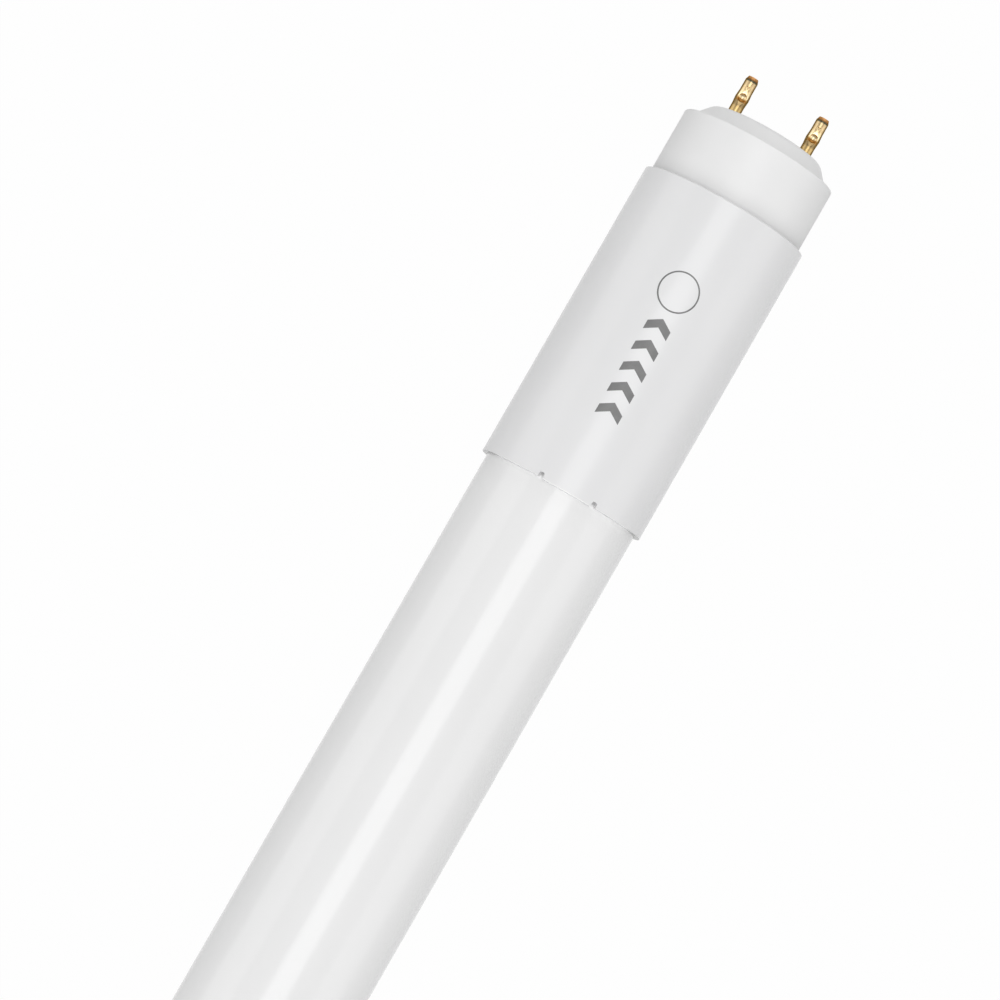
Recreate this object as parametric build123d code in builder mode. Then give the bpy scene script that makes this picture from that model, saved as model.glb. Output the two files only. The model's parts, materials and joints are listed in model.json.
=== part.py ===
from build123d import *
from math import atan2, cos, floor, radians, sin, sqrt, tan
import os

# LED tube lamp of the 600 mm class: an opal glass tube with an opaque sleeve and a two-pin cap at
# each end, a strip of LEDs glued along the inside of the glass, and its driver hidden in one sleeve.
# Frame: X along the tube, the driver at the +X end, the LED board on the +Z side and shining down.
# The origin is the middle of the tube, on its axis. All sizes are in millimetres.

# Lamp
face_to_face = 589.8  # from one cap's face to the other's, without the pins
tube_diameter = 26.2  # outside of the glass and of the caps' necks
glass_wall = 0.9

# Sleeves
sleeve_cover = 3.7  # how far a sleeve reaches past the driver board's inner end
sleeve_wall = 0.75
sleeve_gap = 0.15  # glue line between a sleeve and what it covers
sleeve_mouth_chamfer = 0.35  # outer edge where the neck comes out
sleeve_rim_chamfer = 0.15  # outer edge on the glass
glue_overlap = 14.0  # how far the glue reaches over the glass
slit_depth = 0.82
slit_width = 1.0
slit_corner_radius = 0.22
slit_taper = 0.12  # how much narrower each side of a slit is at its end
tab_half_angle = 19.4  # from the middle of the tab to each slit, in degrees
tab_turn = -1.6  # from the top round to the middle of the tab, in degrees
tab_drop = 0.15  # how far the tab between the slits reaches past the rim
tab_root = 2.0

# Caps
neck_length = 10.9
neck_edge_chamfer = 0.35
cap_wall = 1.3
spigot_length = 8.0  # part of the cap inside the sleeve
butt_gap = 0.5  # between the cap and the end of the glass
plateau_height = 2.9
plateau_base_inset = 1.25  # from the neck's side in to the foot of the cone
plateau_top_inset = 3.6  # from the neck's side in to the cap's face
plateau_edge_chamfer = 0.4
boss_diameter = 4.8
boss_length = 4.0
cap_rib_thickness = 1.0
cap_rib_step = 1.0  # how far the rib stays short of the bosses' ends
rail_length = 9.0
rail_thickness = 1.2
rail_grip = 1.2  # how far the rails reach over the driver board's edges
rail_clearance = 0.05

# Pins
pin_spacing = 12.7
pin_diameter = 2.1
pin_length = 6.7
pin_fit = 0.02  # radial room in the cap's holes
pin_bore_diameter = 1.4
pin_tip_diameter = 1.65
pin_tip_taper = 0.6
pin_tip_hole_diameter = 1.0
pin_flange_diameter = 3.6
pin_flange_thickness = 0.5
crimp_from_tip = 3.7
crimp_half_length = 1.25
crimp_swell = 0.11  # how far the pinched pin bulges at each side
crimp_squeeze = 0.12  # how far it is flattened above and below
dent_radius = 0.8
dent_depth = 0.4
groove_length = 2.0  # shallow V from the dent towards the tip
groove_wide_radius = 0.8
groove_narrow_radius = 0.3
groove_depth = 0.14

# LED board
led_board_width = 10.0
led_board_thickness = 1.0
led_board_corner_room = 0.1  # between its upper corners and the glass
led_board_reach = 6.4  # how far it runs in under each sleeve
strip_glue_width = 8.0
strip_glue_setback = 4.0
led_pitch = 12.0
led_length = 3.5
led_width = 2.8
led_height = 0.7
led_window_length = 2.9
led_window_width = 2.2
led_window_depth = 0.4
led_end_margin = 8.0  # from a sleeve's rim to the nearest LED's centre, at least
lap_length = 5.0  # bare wire soldered along the board's underside

# Driver board
driver_board_drop = 3.5  # from the tube's axis down to its upper face
driver_board_thickness = 1.0
driver_board_side_gap = 1.4  # from its lower edges to the cap's wall
driver_board_pin_gap = 4.1  # from its end to the pins' inner ends
pad_margin = 4.0  # bare strip for the wires at each end
pad_inset = 2.2  # wire holes' distance from the board's ends
part_gap = 0.8
hole_room = 0.1  # radial room round a lead in its hole
lead_diameter = 0.6
lead_tail = 0.8  # length of a lead below the board
lead_sides = 8  # fine leads and wires have flat sides, which keeps the model light
solder_diameter = 1.8
solder_height = 0.7
solder_taper = 0.4  # how much it narrows all round towards the lead's end
row_offset = 5.0  # from the board's middle line to its two rows of parts

# Parts on the driver board's upper face
varistor_diameter = 7.0
varistor_thickness = 3.5
varistor_stand = 1.0
varistor_edge_chamfer = 0.7
varistor_pitch = 5.0
film_length = 10.0
film_width = 4.0
film_height = 8.0
film_edge_chamfer = 0.4
film_pitch = 7.5
fuse_length = 8.0
fuse_diameter = 3.0
fuse_waist_diameter = 2.5
fuse_end_length = 1.6
fuse_lead_reach = 1.5
fuse_lead_bend = 0.9
choke_diameter = 7.0
choke_height = 8.0
choke_flange = 1.0
choke_core_diameter = 3.0
choke_winding_diameter = 6.2
choke_pitch = 4.0
bulk_diameter = 8.0
bulk_length = 11.5
bulk_lead_reach = 1.5
bulk_lead_bend = 0.9
bulk_pitch = 3.5
output_can_diameter = 6.3
output_can_height = 7.0
output_can_pitch = 2.5
can_edge_chamfer = 0.4
can_groove_from_base = 1.6
can_groove_depth = 0.3
can_seal_inset = 0.8
can_seal_depth = 0.4
inductor_length = 9.0
inductor_width = 8.6
inductor_height = 8.0
inductor_stand = 0.6
inductor_pitch = 5.0
core_depth = 4.0  # across the board
core_leg = 1.6
core_post = 3.0
bobbin_wall = 0.6
bobbin_room = 0.1  # between the bobbin's feet and the core
winding_room = 0.1
winding_corner_radius = 0.6

# Parts on the driver board's lower face
bridge_length = 4.7
bridge_width = 3.9
bridge_height = 1.6
bridge_leg_pitch = 2.5
chip_length = 4.9
chip_width = 3.9
chip_height = 1.5
chip_leg_pitch = 1.27
leg_width = 0.4
leg_thickness = 0.2
leg_reach = 1.0
package_stand = 0.1
package_chamfer = 0.2
diode_length = 4.3
diode_width = 2.6
diode_height = 2.1
diode_tab_width = 1.5
resistor_length = 2.0
resistor_width = 1.25
resistor_height = 0.55
resistor_pitch = 2.4
resistor_count = 4

# Wires
conductor_diameter = 0.7
wire_diameter = 1.4
strip_back = 0.3  # bare wire between a pin or board and the insulation
led_wire_pitch = 5.0  # spacing of the two wires at each end of the LED board
lap_solder_diameter = 1.6
lap_solder_setback = 0.6
lap_solder_film = 0.08  # solder between a lapped wire and the board
output_wire_knee = 4.5  # how far below its lap the wire leans over
far_wire_straight = 8.0
short_bend = 2.2
long_bend = 9.0

# Radii and stations along the tube
tube_radius = tube_diameter / 2
glass_bore_radius = tube_radius - glass_wall
sleeve_bore_radius = tube_radius + sleeve_gap
sleeve_radius = sleeve_bore_radius + sleeve_wall
cup_radius = tube_radius - cap_wall
face_x = face_to_face / 2
shoulder_x = face_x - plateau_height
mouth_x = shoulder_x - neck_length
cap_inner_x = mouth_x - spigot_length
glass_end_x = cap_inner_x - butt_gap
cap_floor_x = face_x - cap_wall
boss_end_x = cap_floor_x - boss_length
pin_inner_x = boss_end_x - pin_flange_thickness
pin_tip_x = face_x + pin_length
crimp_x = pin_tip_x - crimp_from_tip
pin_y = pin_spacing / 2
pin_radius = pin_diameter / 2
conductor_radius = conductor_diameter / 2
lead_radius = lead_diameter / 2

# Levels of the two boards
led_board_top = sqrt(glass_bore_radius**2 - (led_board_width / 2) ** 2) - led_board_corner_room
led_board_bottom = led_board_top - led_board_thickness
lap_z = led_board_bottom - lap_solder_film - conductor_radius
led_wire_y = led_wire_pitch / 2
board_top = -driver_board_drop
board_bottom = board_top - driver_board_thickness
board_half_width = sqrt(cup_radius**2 - board_bottom**2) - driver_board_side_gap
tail_z = board_bottom - lead_tail

# Places along the driver board, from the cap inwards
board_outer_x = pin_inner_x - driver_board_pin_gap
first_part_x = board_outer_x - pad_margin
varistor_x = first_part_x - varistor_diameter / 2
film_x = varistor_x - varistor_diameter / 2 - part_gap - film_length / 2
fuse_x = first_part_x - fuse_lead_reach - fuse_length / 2
choke_x = fuse_x - fuse_length / 2 - fuse_lead_reach - part_gap - choke_diameter / 2
rows_end_x = min(film_x - film_length / 2, choke_x - choke_diameter / 2)
bulk_base_x = rows_end_x - part_gap - bulk_length
bulk_lead_x = bulk_base_x - bulk_lead_reach
inductor_x = bulk_lead_x - part_gap - inductor_length / 2
output_can_x = bulk_lead_x - part_gap - output_can_diameter / 2
board_inner_x = inductor_x - inductor_length / 2 - part_gap - pad_margin
board_length = board_outer_x - board_inner_x
rim_x = board_inner_x - sleeve_cover
mains_pad_x = board_outer_x - pad_inset
output_pad_x = board_inner_x + pad_inset

# Places along the LED board
led_board_end_x = rim_x + led_board_reach
lap_start_x = led_board_end_x - strip_back - wire_diameter
lap_end_x = lap_start_x - lap_length

# Centres and heights of the parts' bodies
varistor_z = board_top + varistor_stand + varistor_diameter / 2
fuse_z = board_top + fuse_diameter / 2
bulk_z = board_top + bulk_diameter / 2
inductor_y = -row_offset + core_leg / 2
inductor_base_z = board_top + inductor_stand


def pair(x, y, pitch_x=0.0, pitch_y=0.0):
    """The two points half a pitch each side of (x, y)."""
    return [(x + s * pitch_x / 2, y + s * pitch_y / 2) for s in (-1, 1)]


mains_holes = pair(mains_pad_x, 0, pitch_y=pin_spacing)
output_holes = pair(output_pad_x, 0, pitch_y=led_wire_pitch)
varistor_leads = pair(varistor_x, -row_offset, pitch_x=varistor_pitch)
film_leads = pair(film_x, -row_offset, pitch_x=film_pitch)
fuse_leads = pair(fuse_x, row_offset, pitch_x=fuse_length + 2 * fuse_lead_reach)
choke_leads = pair(choke_x, row_offset, pitch_x=choke_pitch)
bulk_leads = pair(bulk_lead_x, 0, pitch_y=bulk_pitch)
inductor_leads = pair(inductor_x, inductor_y, inductor_pitch, inductor_pitch) + pair(
    inductor_x, inductor_y, inductor_pitch, -inductor_pitch
)
output_can_leads = pair(output_can_x, row_offset, pitch_y=output_can_pitch)
wire_holes = mains_holes + output_holes
lead_holes = varistor_leads + film_leads + fuse_leads + choke_leads
lead_holes += bulk_leads + inductor_leads + output_can_leads


def end_plane(x):
    """Plane square to the tube's axis at x, facing +X, with its own x along Y and its y along Z."""
    return Plane(origin=(x, 0, 0), x_dir=(0, 1, 0), z_dir=(1, 0, 0))


def wire_through(points, bend, radius):
    """Wire along straight runs joined by arcs."""
    first = Vector(*points[0])
    with BuildPart() as wire:
        with BuildLine() as route:
            FilletPolyline(*points, radius=bend)
        with BuildSketch(Plane(origin=first, z_dir=Vector(*points[1]) - first)) as section:
            RegularPolygon(radius, lead_sides)
        sweep(sections=section.sketch, path=route.line)
    return wire.part


def insulated_wire(bare_points, covered_points, bend):
    """Bare conductor along its whole route, with its insulation along the covered stretch."""
    conductor = wire_through(bare_points, bend, conductor_radius)
    cover = wire_through(covered_points, bend, wire_diameter / 2)
    with BuildPart() as wire:
        add(conductor)
        add(cover)
    return wire


def part_way(start, end, share):
    """Point at the given share of the way from start to end."""
    return tuple(a + share * (b - a) for a, b in zip(start, end))


def mirrored(piece):
    """The same piece at the other end of the tube."""
    with BuildPart() as copy:
        mirror(piece.part, about=Plane.YZ)
    return copy


# Glass tube
with BuildPart() as glass_tube:
    with BuildSketch(end_plane(-glass_end_x)):
        Circle(tube_radius)
        Circle(glass_bore_radius, mode=Mode.SUBTRACT)
    extrude(amount=2 * glass_end_x)

# Sleeve: a plain collar, with a tab between two slits in its rim on the upper side
with BuildPart() as driver_end_sleeve:
    with BuildSketch(Plane.XY) as collar:
        with BuildLine():
            Polyline(
                (rim_x, sleeve_bore_radius),
                (rim_x, sleeve_radius),
                (mouth_x, sleeve_radius),
                (mouth_x, sleeve_bore_radius),
                close=True,
            )
        make_face()
        rim_corner = collar.vertices().group_by(Axis.Y)[-1].sort_by(Axis.X)[0]
        chamfer(rim_corner, length=sleeve_rim_chamfer)
        mouth_corner = collar.vertices().group_by(Axis.Y)[-1].sort_by(Axis.X)[-1]
        chamfer(mouth_corner, length=sleeve_mouth_chamfer)
    revolve(axis=Axis.X)
    slit_angles = [radians(tab_turn + side * tab_half_angle) for side in (-1, 1)]
    wedge_reach = 2 * sleeve_radius
    with BuildSketch(end_plane(rim_x - tab_drop)):
        Circle(sleeve_radius)
        Circle(sleeve_bore_radius, mode=Mode.SUBTRACT)
        with BuildLine():
            Polyline(
                (0, 0),
                *[(wedge_reach * sin(angle), wedge_reach * cos(angle)) for angle in slit_angles],
                close=True,
            )
        make_face(mode=Mode.INTERSECT)
    extrude(amount=tab_drop + tab_root)
    for angle in slit_angles:
        outwards = (0, sin(angle), cos(angle))
        rim_point = (rim_x, sleeve_radius * sin(angle), sleeve_radius * cos(angle))
        with BuildSketch(Plane(origin=rim_point, x_dir=(1, 0, 0), z_dir=outwards)) as slit:
            with BuildLine():
                Polyline(
                    (-2 * tab_drop, -slit_width / 2),
                    (slit_depth, -slit_width / 2 + slit_taper),
                    (slit_depth, slit_width / 2 - slit_taper),
                    (-2 * tab_drop, slit_width / 2),
                    close=True,
                )
            make_face()
            fillet(slit.vertices().group_by(Axis.X)[-1], radius=slit_corner_radius)
        extrude(amount=sleeve_wall + sleeve_gap, both=True, mode=Mode.SUBTRACT)

# Glue that holds the sleeve to the glass and to the cap's spigot
with BuildPart() as driver_end_glue:
    with BuildSketch(end_plane(glass_end_x - glue_overlap)):
        Circle(sleeve_bore_radius)
        Circle(tube_radius, mode=Mode.SUBTRACT)
    extrude(amount=glue_overlap + spigot_length)

# Hollow of the cap: a cup around two pin bosses with a rib across, and rails for the driver board
plateau_base_radius = tube_radius - plateau_base_inset
plateau_top_radius = tube_radius - plateau_top_inset
corner_shift = cap_wall * tan(atan2(plateau_height, plateau_base_radius - plateau_top_radius) / 2)
with BuildPart() as cap_hollow:
    with BuildSketch(Plane.XY):
        with BuildLine():
            Polyline(
                (cap_inner_x, 0),
                (cap_inner_x, cup_radius),
                (shoulder_x - cap_wall, cup_radius),
                (shoulder_x - cap_wall, plateau_base_radius - corner_shift),
                (cap_floor_x, plateau_top_radius - corner_shift),
                (cap_floor_x, 0),
                close=True,
            )
        make_face()
    revolve(axis=Axis.X)
    with BuildSketch(end_plane(boss_end_x)):
        with GridLocations(pin_spacing, 0, 2, 1):
            Circle(boss_diameter / 2)
    extrude(amount=boss_length, mode=Mode.SUBTRACT)
    with BuildSketch(end_plane(boss_end_x + cap_rib_step)):
        Rectangle(tube_diameter, cap_rib_thickness)
    extrude(amount=boss_length - cap_rib_step, mode=Mode.SUBTRACT)
    rail_inner_y = board_half_width - rail_grip
    rail_width = tube_radius - rail_inner_y
    upper_rail_z = board_top + rail_clearance + rail_thickness / 2
    lower_rail_z = board_bottom - rail_clearance - rail_thickness / 2
    with BuildSketch(end_plane(cap_inner_x)):
        for side in (-1, 1):
            rail_y = side * (rail_inner_y + rail_width / 2)
            with Locations((rail_y, upper_rail_z), (rail_y, lower_rail_z)):
                Rectangle(rail_width, rail_thickness)
    extrude(amount=rail_length, mode=Mode.SUBTRACT)

# Cap: spigot, neck, eased shoulder and a flat-topped cone that carries the pins
with BuildPart() as driver_end_cap:
    with BuildSketch(Plane.XY) as cap_outline:
        with BuildLine():
            Polyline(
                (cap_inner_x, 0),
                (cap_inner_x, tube_radius),
                (shoulder_x, tube_radius),
                (shoulder_x, plateau_base_radius),
                (face_x, plateau_top_radius),
                (face_x, 0),
                close=True,
            )
        make_face()
        shoulder_corner = cap_outline.vertices().group_by(Axis.Y)[-1].sort_by(Axis.X)[-1]
        chamfer(shoulder_corner, length=neck_edge_chamfer)
        plateau_corner = cap_outline.vertices().group_by(Axis.X)[-1].sort_by(Axis.Y)[-1]
        chamfer(plateau_corner, length=plateau_edge_chamfer)
    revolve(axis=Axis.X)
    add(cap_hollow.part, mode=Mode.SUBTRACT)
    with BuildSketch(end_plane(boss_end_x)):
        with GridLocations(pin_spacing, 0, 2, 1):
            Circle(pin_radius + pin_fit)
    extrude(amount=boss_length + cap_wall, mode=Mode.SUBTRACT)


def contact_pin(y):
    """Hollow pin at the given y, pinched on its wire by a dent above and below."""
    flange_radius = pin_flange_diameter / 2
    tip_radius = pin_tip_diameter / 2
    pinch_start_x = crimp_x - crimp_half_length
    pinch_end_x = crimp_x + crimp_half_length
    flat_z = pin_radius - crimp_squeeze
    with BuildPart() as pin:
        with BuildSketch(Plane.XY):
            with BuildLine():
                Polyline(
                    (pin_inner_x, y),
                    (pin_inner_x, y + flange_radius),
                    (boss_end_x, y + flange_radius),
                    (boss_end_x, y + pin_radius),
                    (pinch_start_x, y + pin_radius),
                    (crimp_x, y + pin_radius + crimp_swell),
                    (pinch_end_x, y + pin_radius),
                    (pin_tip_x - pin_tip_taper, y + pin_radius),
                    (pin_tip_x, y + tip_radius),
                    (pin_tip_x, y),
                    close=True,
                )
            make_face()
        revolve(axis=Axis((0, y, 0), (1, 0, 0)))
        for side in (-1, 1):
            with BuildSketch(Plane.XZ.offset(-y)):
                with BuildLine():
                    Polyline(
                        (pinch_start_x, side * pin_diameter),
                        (pinch_start_x, side * pin_radius),
                        (crimp_x, side * flat_z),
                        (pinch_end_x, side * pin_radius),
                        (pinch_end_x, side * pin_diameter),
                        close=True,
                    )
                make_face()
            extrude(amount=pin_diameter, both=True, mode=Mode.SUBTRACT)
            with Locations((crimp_x, y, side * (flat_z + dent_radius - dent_depth))):
                Sphere(dent_radius, mode=Mode.SUBTRACT)
            groove_x = crimp_x + groove_length / 2
            groove_z = side * (pin_radius + groove_wide_radius - groove_depth)
            with Locations(Location((groove_x, y, groove_z), (0, 90, 0))):
                Cone(
                    groove_narrow_radius, groove_wide_radius, groove_length, mode=Mode.SUBTRACT
                )
        with BuildSketch(Plane.XY):
            with BuildLine():
                Polyline(
                    (pin_inner_x, y),
                    (pin_inner_x, y + pin_bore_diameter / 2),
                    (pinch_start_x, y + pin_bore_diameter / 2),
                    (pinch_start_x, y + conductor_radius),
                    (pinch_end_x, y + conductor_radius),
                    (pinch_end_x, y + pin_tip_hole_diameter / 2),
                    (pin_tip_x, y + pin_tip_hole_diameter / 2),
                    (pin_tip_x, y),
                    close=True,
                )
            make_face()
        revolve(axis=Axis((0, y, 0), (1, 0, 0)), mode=Mode.SUBTRACT)
    return pin


driver_end_pin_left = contact_pin(pin_y)
driver_end_pin_right = contact_pin(-pin_y)

# LED board, the silicone that holds it to the glass, and its row of LEDs
with BuildPart() as led_board:
    with BuildSketch(Plane.XY.offset(led_board_bottom)):
        Rectangle(2 * led_board_end_x, led_board_width)
    extrude(amount=led_board_thickness)

with BuildPart() as strip_glue:
    with BuildSketch(end_plane(-led_board_end_x + strip_glue_setback)):
        Circle(glass_bore_radius)
        with Locations((0, led_board_top)):
            Rectangle(
                strip_glue_width,
                glass_wall + glass_bore_radius - led_board_top,
                align=(Align.CENTER, Align.MIN),
                mode=Mode.INTERSECT,
            )
    extrude(amount=2 * (led_board_end_x - strip_glue_setback))

lit_half_length = rim_x - led_end_margin
led_count = floor(2 * lit_half_length / led_pitch) + 1
window_top = led_board_bottom - led_height + led_window_depth
with BuildPart() as led_packages:
    with BuildSketch(Plane.XY.offset(led_board_bottom)):
        with GridLocations(led_pitch, 0, led_count, 1):
            Rectangle(led_length, led_width)
    extrude(amount=-led_height)
    with BuildSketch(Plane.XY.offset(window_top)):
        with GridLocations(led_pitch, 0, led_count, 1):
            Rectangle(led_window_length, led_window_width)
    extrude(amount=-led_window_depth, mode=Mode.SUBTRACT)

with BuildPart() as led_phosphors:
    with BuildSketch(Plane.XY.offset(window_top)):
        with GridLocations(led_pitch, 0, led_count, 1):
            Rectangle(led_window_length, led_window_width)
    extrude(amount=-led_window_depth)

# Driver board, drilled for every lead
with BuildPart() as driver_board:
    with BuildSketch(Plane.XY.offset(board_bottom)):
        with Locations(((board_outer_x + board_inner_x) / 2, 0)):
            Rectangle(board_length, 2 * board_half_width)
        with Locations(*wire_holes):
            RegularPolygon(conductor_radius + hole_room, lead_sides, mode=Mode.SUBTRACT)
        with Locations(*lead_holes):
            RegularPolygon(lead_radius + hole_room, lead_sides, mode=Mode.SUBTRACT)
    extrude(amount=driver_board_thickness)


def solder_joint(hole_radius):
    """Joint under the driver board, tapering down round its lead."""
    with BuildPart() as joint:
        with BuildSketch(Plane.XY):
            RegularPolygon(solder_diameter / 2, lead_sides)
        extrude(amount=-solder_height)
        chamfer(joint.faces().sort_by(Axis.Z)[0].edges(), length=solder_taper)
        with BuildSketch(Plane.XY):
            RegularPolygon(hole_radius, lead_sides)
        extrude(amount=-solder_height, mode=Mode.SUBTRACT)
    return joint.part


wire_joint = solder_joint(conductor_radius)
lead_joint = solder_joint(lead_radius)
with BuildPart() as driver_board_solder:
    for holes, joint_part in ((wire_holes, wire_joint), (lead_holes, lead_joint)):
        with Locations(*[(x, y, board_bottom) for x, y in holes]):
            add(joint_part)

# Varistor: a disc on edge
with BuildPart() as varistor:
    with Locations(Location((varistor_x, -row_offset, varistor_z), (90, 0, 0))):
        Cylinder(varistor_diameter / 2, varistor_thickness)
    chamfer(varistor.edges().filter_by(GeomType.CIRCLE), length=varistor_edge_chamfer)
    with BuildSketch(Plane.XY.offset(tail_z)):
        with Locations(*varistor_leads):
            RegularPolygon(lead_radius, lead_sides)
    extrude(amount=varistor_z - tail_z)

# Film capacitor in a potted box
with BuildPart() as film_capacitor:
    with BuildSketch(Plane.XY.offset(board_top)):
        with Locations((film_x, -row_offset)):
            Rectangle(film_length, film_width)
    extrude(amount=film_height)
    chamfer(film_capacitor.faces().sort_by(Axis.Z)[-1].edges(), length=film_edge_chamfer)
    with BuildSketch(Plane.XY.offset(tail_z)):
        with Locations(*film_leads):
            RegularPolygon(lead_radius, lead_sides)
    extrude(amount=board_top - tail_z)

# Fusible resistor lying on the board, with a waist between its end caps
fuse_wires = [
    wire_through(
        [(fuse_x, y, fuse_z), (x, y, fuse_z), (x, y, tail_z)], fuse_lead_bend, lead_radius
    )
    for x, y in fuse_leads
]
with BuildPart() as fuse_resistor:
    with BuildSketch(Plane.XY.offset(fuse_z)):
        with Locations((fuse_x, row_offset)):
            Rectangle(fuse_length, fuse_diameter / 2, align=(Align.CENTER, Align.MIN))
        waist_length = fuse_length - 2 * fuse_end_length
        with Locations((fuse_x, row_offset + fuse_waist_diameter / 2)):
            Rectangle(
                waist_length,
                fuse_diameter,
                align=(Align.CENTER, Align.MIN),
                mode=Mode.SUBTRACT,
            )
    revolve(axis=Axis((0, row_offset, fuse_z), (1, 0, 0)))
    add(fuse_wires)

# Filter choke: copper wound on a ferrite drum
winding_height = choke_height - 2 * choke_flange
upright = (Align.CENTER, Align.CENTER, Align.MIN)
with BuildPart() as choke_core:
    for flange_z in (board_top, board_top + choke_height - choke_flange):
        with Locations((choke_x, row_offset, flange_z)):
            Cylinder(choke_diameter / 2, choke_flange, align=upright)
    with Locations((choke_x, row_offset, board_top)):
        Cylinder(choke_core_diameter / 2, choke_height, align=upright)
    with BuildSketch(Plane.XY.offset(tail_z)):
        with Locations(*choke_leads):
            RegularPolygon(lead_radius, lead_sides)
    extrude(amount=board_top - tail_z)

with BuildPart() as choke_winding:
    with BuildSketch(Plane.XY.offset(board_top + choke_flange)):
        with Locations((choke_x, row_offset)):
            Circle(choke_winding_diameter / 2)
            Circle(choke_core_diameter / 2, mode=Mode.SUBTRACT)
    extrude(amount=winding_height)


def electrolytic_can(profile_plane, diameter, length, leads):
    """Can with a rolled groove and a recessed seal, its axis along the plane's x from its base."""
    with BuildPart() as can:
        with BuildSketch(profile_plane) as profile:
            Rectangle(length, diameter / 2, align=(Align.MIN, Align.MIN))
            Rectangle(
                can_seal_depth,
                diameter / 2 - can_seal_inset,
                align=(Align.MIN, Align.MIN),
                mode=Mode.SUBTRACT,
            )
            with Locations((can_groove_from_base, diameter / 2)):
                RegularPolygon(can_groove_depth, 4, mode=Mode.SUBTRACT)
            top_corner = profile.vertices().group_by(Axis.X)[-1].sort_by(Axis.Y)[-1]
            chamfer(top_corner, length=can_edge_chamfer)
        revolve(axis=Axis(profile_plane.origin, profile_plane.x_dir))
        add(leads)
    return can


# Bulk capacitor lying along the board, and the output capacitor standing beside the inductor
bulk_wires = [
    wire_through(
        [(bulk_base_x + 2 * can_seal_depth, y, bulk_z), (x, y, bulk_z), (x, y, tail_z)],
        bulk_lead_bend,
        lead_radius,
    )
    for x, y in bulk_leads
]
bulk_plane = Plane(origin=(bulk_base_x, 0, bulk_z), x_dir=(1, 0, 0), z_dir=(0, 0, 1))
bulk_capacitor = electrolytic_can(bulk_plane, bulk_diameter, bulk_length, bulk_wires)

with BuildPart() as output_leads:
    with BuildSketch(Plane.XY.offset(tail_z)):
        with Locations(*output_can_leads):
            RegularPolygon(lead_radius, lead_sides)
    extrude(amount=board_top + 2 * can_seal_depth - tail_z)
output_plane = Plane(origin=(output_can_x, row_offset, board_top), x_dir=(0, 0, 1), z_dir=(1, 0, 0))
output_capacitor = electrolytic_can(
    output_plane, output_can_diameter, output_can_height, output_leads.part
)

# Power inductor: a two-window ferrite core round a wound bobbin that stands on four pins
core_height = inductor_height - inductor_stand
window_height = core_height - 2 * core_leg
window_width = (inductor_length - core_post) / 2 - core_leg
window_z = inductor_base_z + core_leg
winding_width = window_width - bobbin_wall - winding_room
core_span_x = inductor_length - 2 * core_leg
with BuildPart() as inductor_core:
    with BuildSketch(Plane.XY.offset(inductor_base_z)):
        with Locations((inductor_x, inductor_y)):
            Rectangle(inductor_length, core_depth)
    extrude(amount=core_height)
    with BuildSketch(Plane.XY.offset(window_z)):
        with Locations((inductor_x, inductor_y)):
            Rectangle(core_span_x, core_depth)
            Rectangle(core_post, core_depth, mode=Mode.SUBTRACT)
    extrude(amount=window_height, mode=Mode.SUBTRACT)

with BuildPart() as inductor_bobbin:
    for flange_z in (window_z, window_z + window_height - bobbin_wall):
        with BuildSketch(Plane.XY.offset(flange_z)):
            with Locations((inductor_x, inductor_y)):
                Rectangle(core_span_x, inductor_width)
        extrude(amount=bobbin_wall)
    with BuildSketch(Plane.XY.offset(window_z)):
        with Locations((inductor_x, inductor_y)):
            Rectangle(core_post + 2 * bobbin_wall, core_depth + 2 * bobbin_wall)
    extrude(amount=window_height)
    with BuildSketch(Plane.XY.offset(window_z)):
        with Locations((inductor_x, inductor_y)):
            Rectangle(core_post, core_depth)
    extrude(amount=window_height, mode=Mode.SUBTRACT)
    with BuildSketch(Plane.XY.offset(board_top)):
        with Locations((inductor_x, inductor_y)):
            Rectangle(core_span_x, inductor_width)
            Rectangle(core_span_x, core_depth + 2 * bobbin_room, mode=Mode.SUBTRACT)
    extrude(amount=window_z - board_top)
    with BuildSketch(Plane.XY.offset(tail_z)):
        with Locations(*inductor_leads):
            RegularPolygon(lead_radius, lead_sides)
    extrude(amount=board_top - tail_z)

with BuildPart() as inductor_winding:
    inner_x = core_post + 2 * bobbin_wall
    inner_y = core_depth + 2 * bobbin_wall
    with BuildSketch(Plane.XY.offset(window_z + bobbin_wall)):
        with Locations((inductor_x, inductor_y)):
            RectangleRounded(
                inner_x + 2 * winding_width, inner_y + 2 * winding_width, winding_corner_radius
            )
            Rectangle(inner_x, inner_y, mode=Mode.SUBTRACT)
    extrude(amount=window_height - 2 * bobbin_wall)


def winged_package(x, y, length, width, height, leg_xs):
    """Flat package under the driver board, with bent legs at both long sides."""
    body_z = board_bottom - package_stand
    middle_z = body_z - height / 2
    knee = leg_reach / 2
    with BuildPart() as package:
        with BuildSketch(Plane.XY.offset(body_z)):
            with Locations((x, y)):
                Rectangle(length, width)
        extrude(amount=-height)
        chamfer(package.faces().sort_by(Axis.Z)[0].edges(), length=package_chamfer)
        for leg_x in leg_xs:
            for side in (-1, 1):
                outline = (
                    (0, middle_z - leg_thickness / 2),
                    (width / 2 + knee + leg_thickness, middle_z - leg_thickness / 2),
                    (width / 2 + knee + leg_thickness, board_bottom - leg_thickness),
                    (width / 2 + leg_reach, board_bottom - leg_thickness),
                    (width / 2 + leg_reach, board_bottom),
                    (width / 2 + knee, board_bottom),
                    (width / 2 + knee, middle_z + leg_thickness / 2),
                    (0, middle_z + leg_thickness / 2),
                )
                with BuildSketch(end_plane(x + leg_x - leg_width / 2)):
                    with BuildLine():
                        Polyline(*[(y + side * v, w) for v, w in outline], close=True)
                    make_face()
                extrude(amount=leg_width)
    return package


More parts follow.
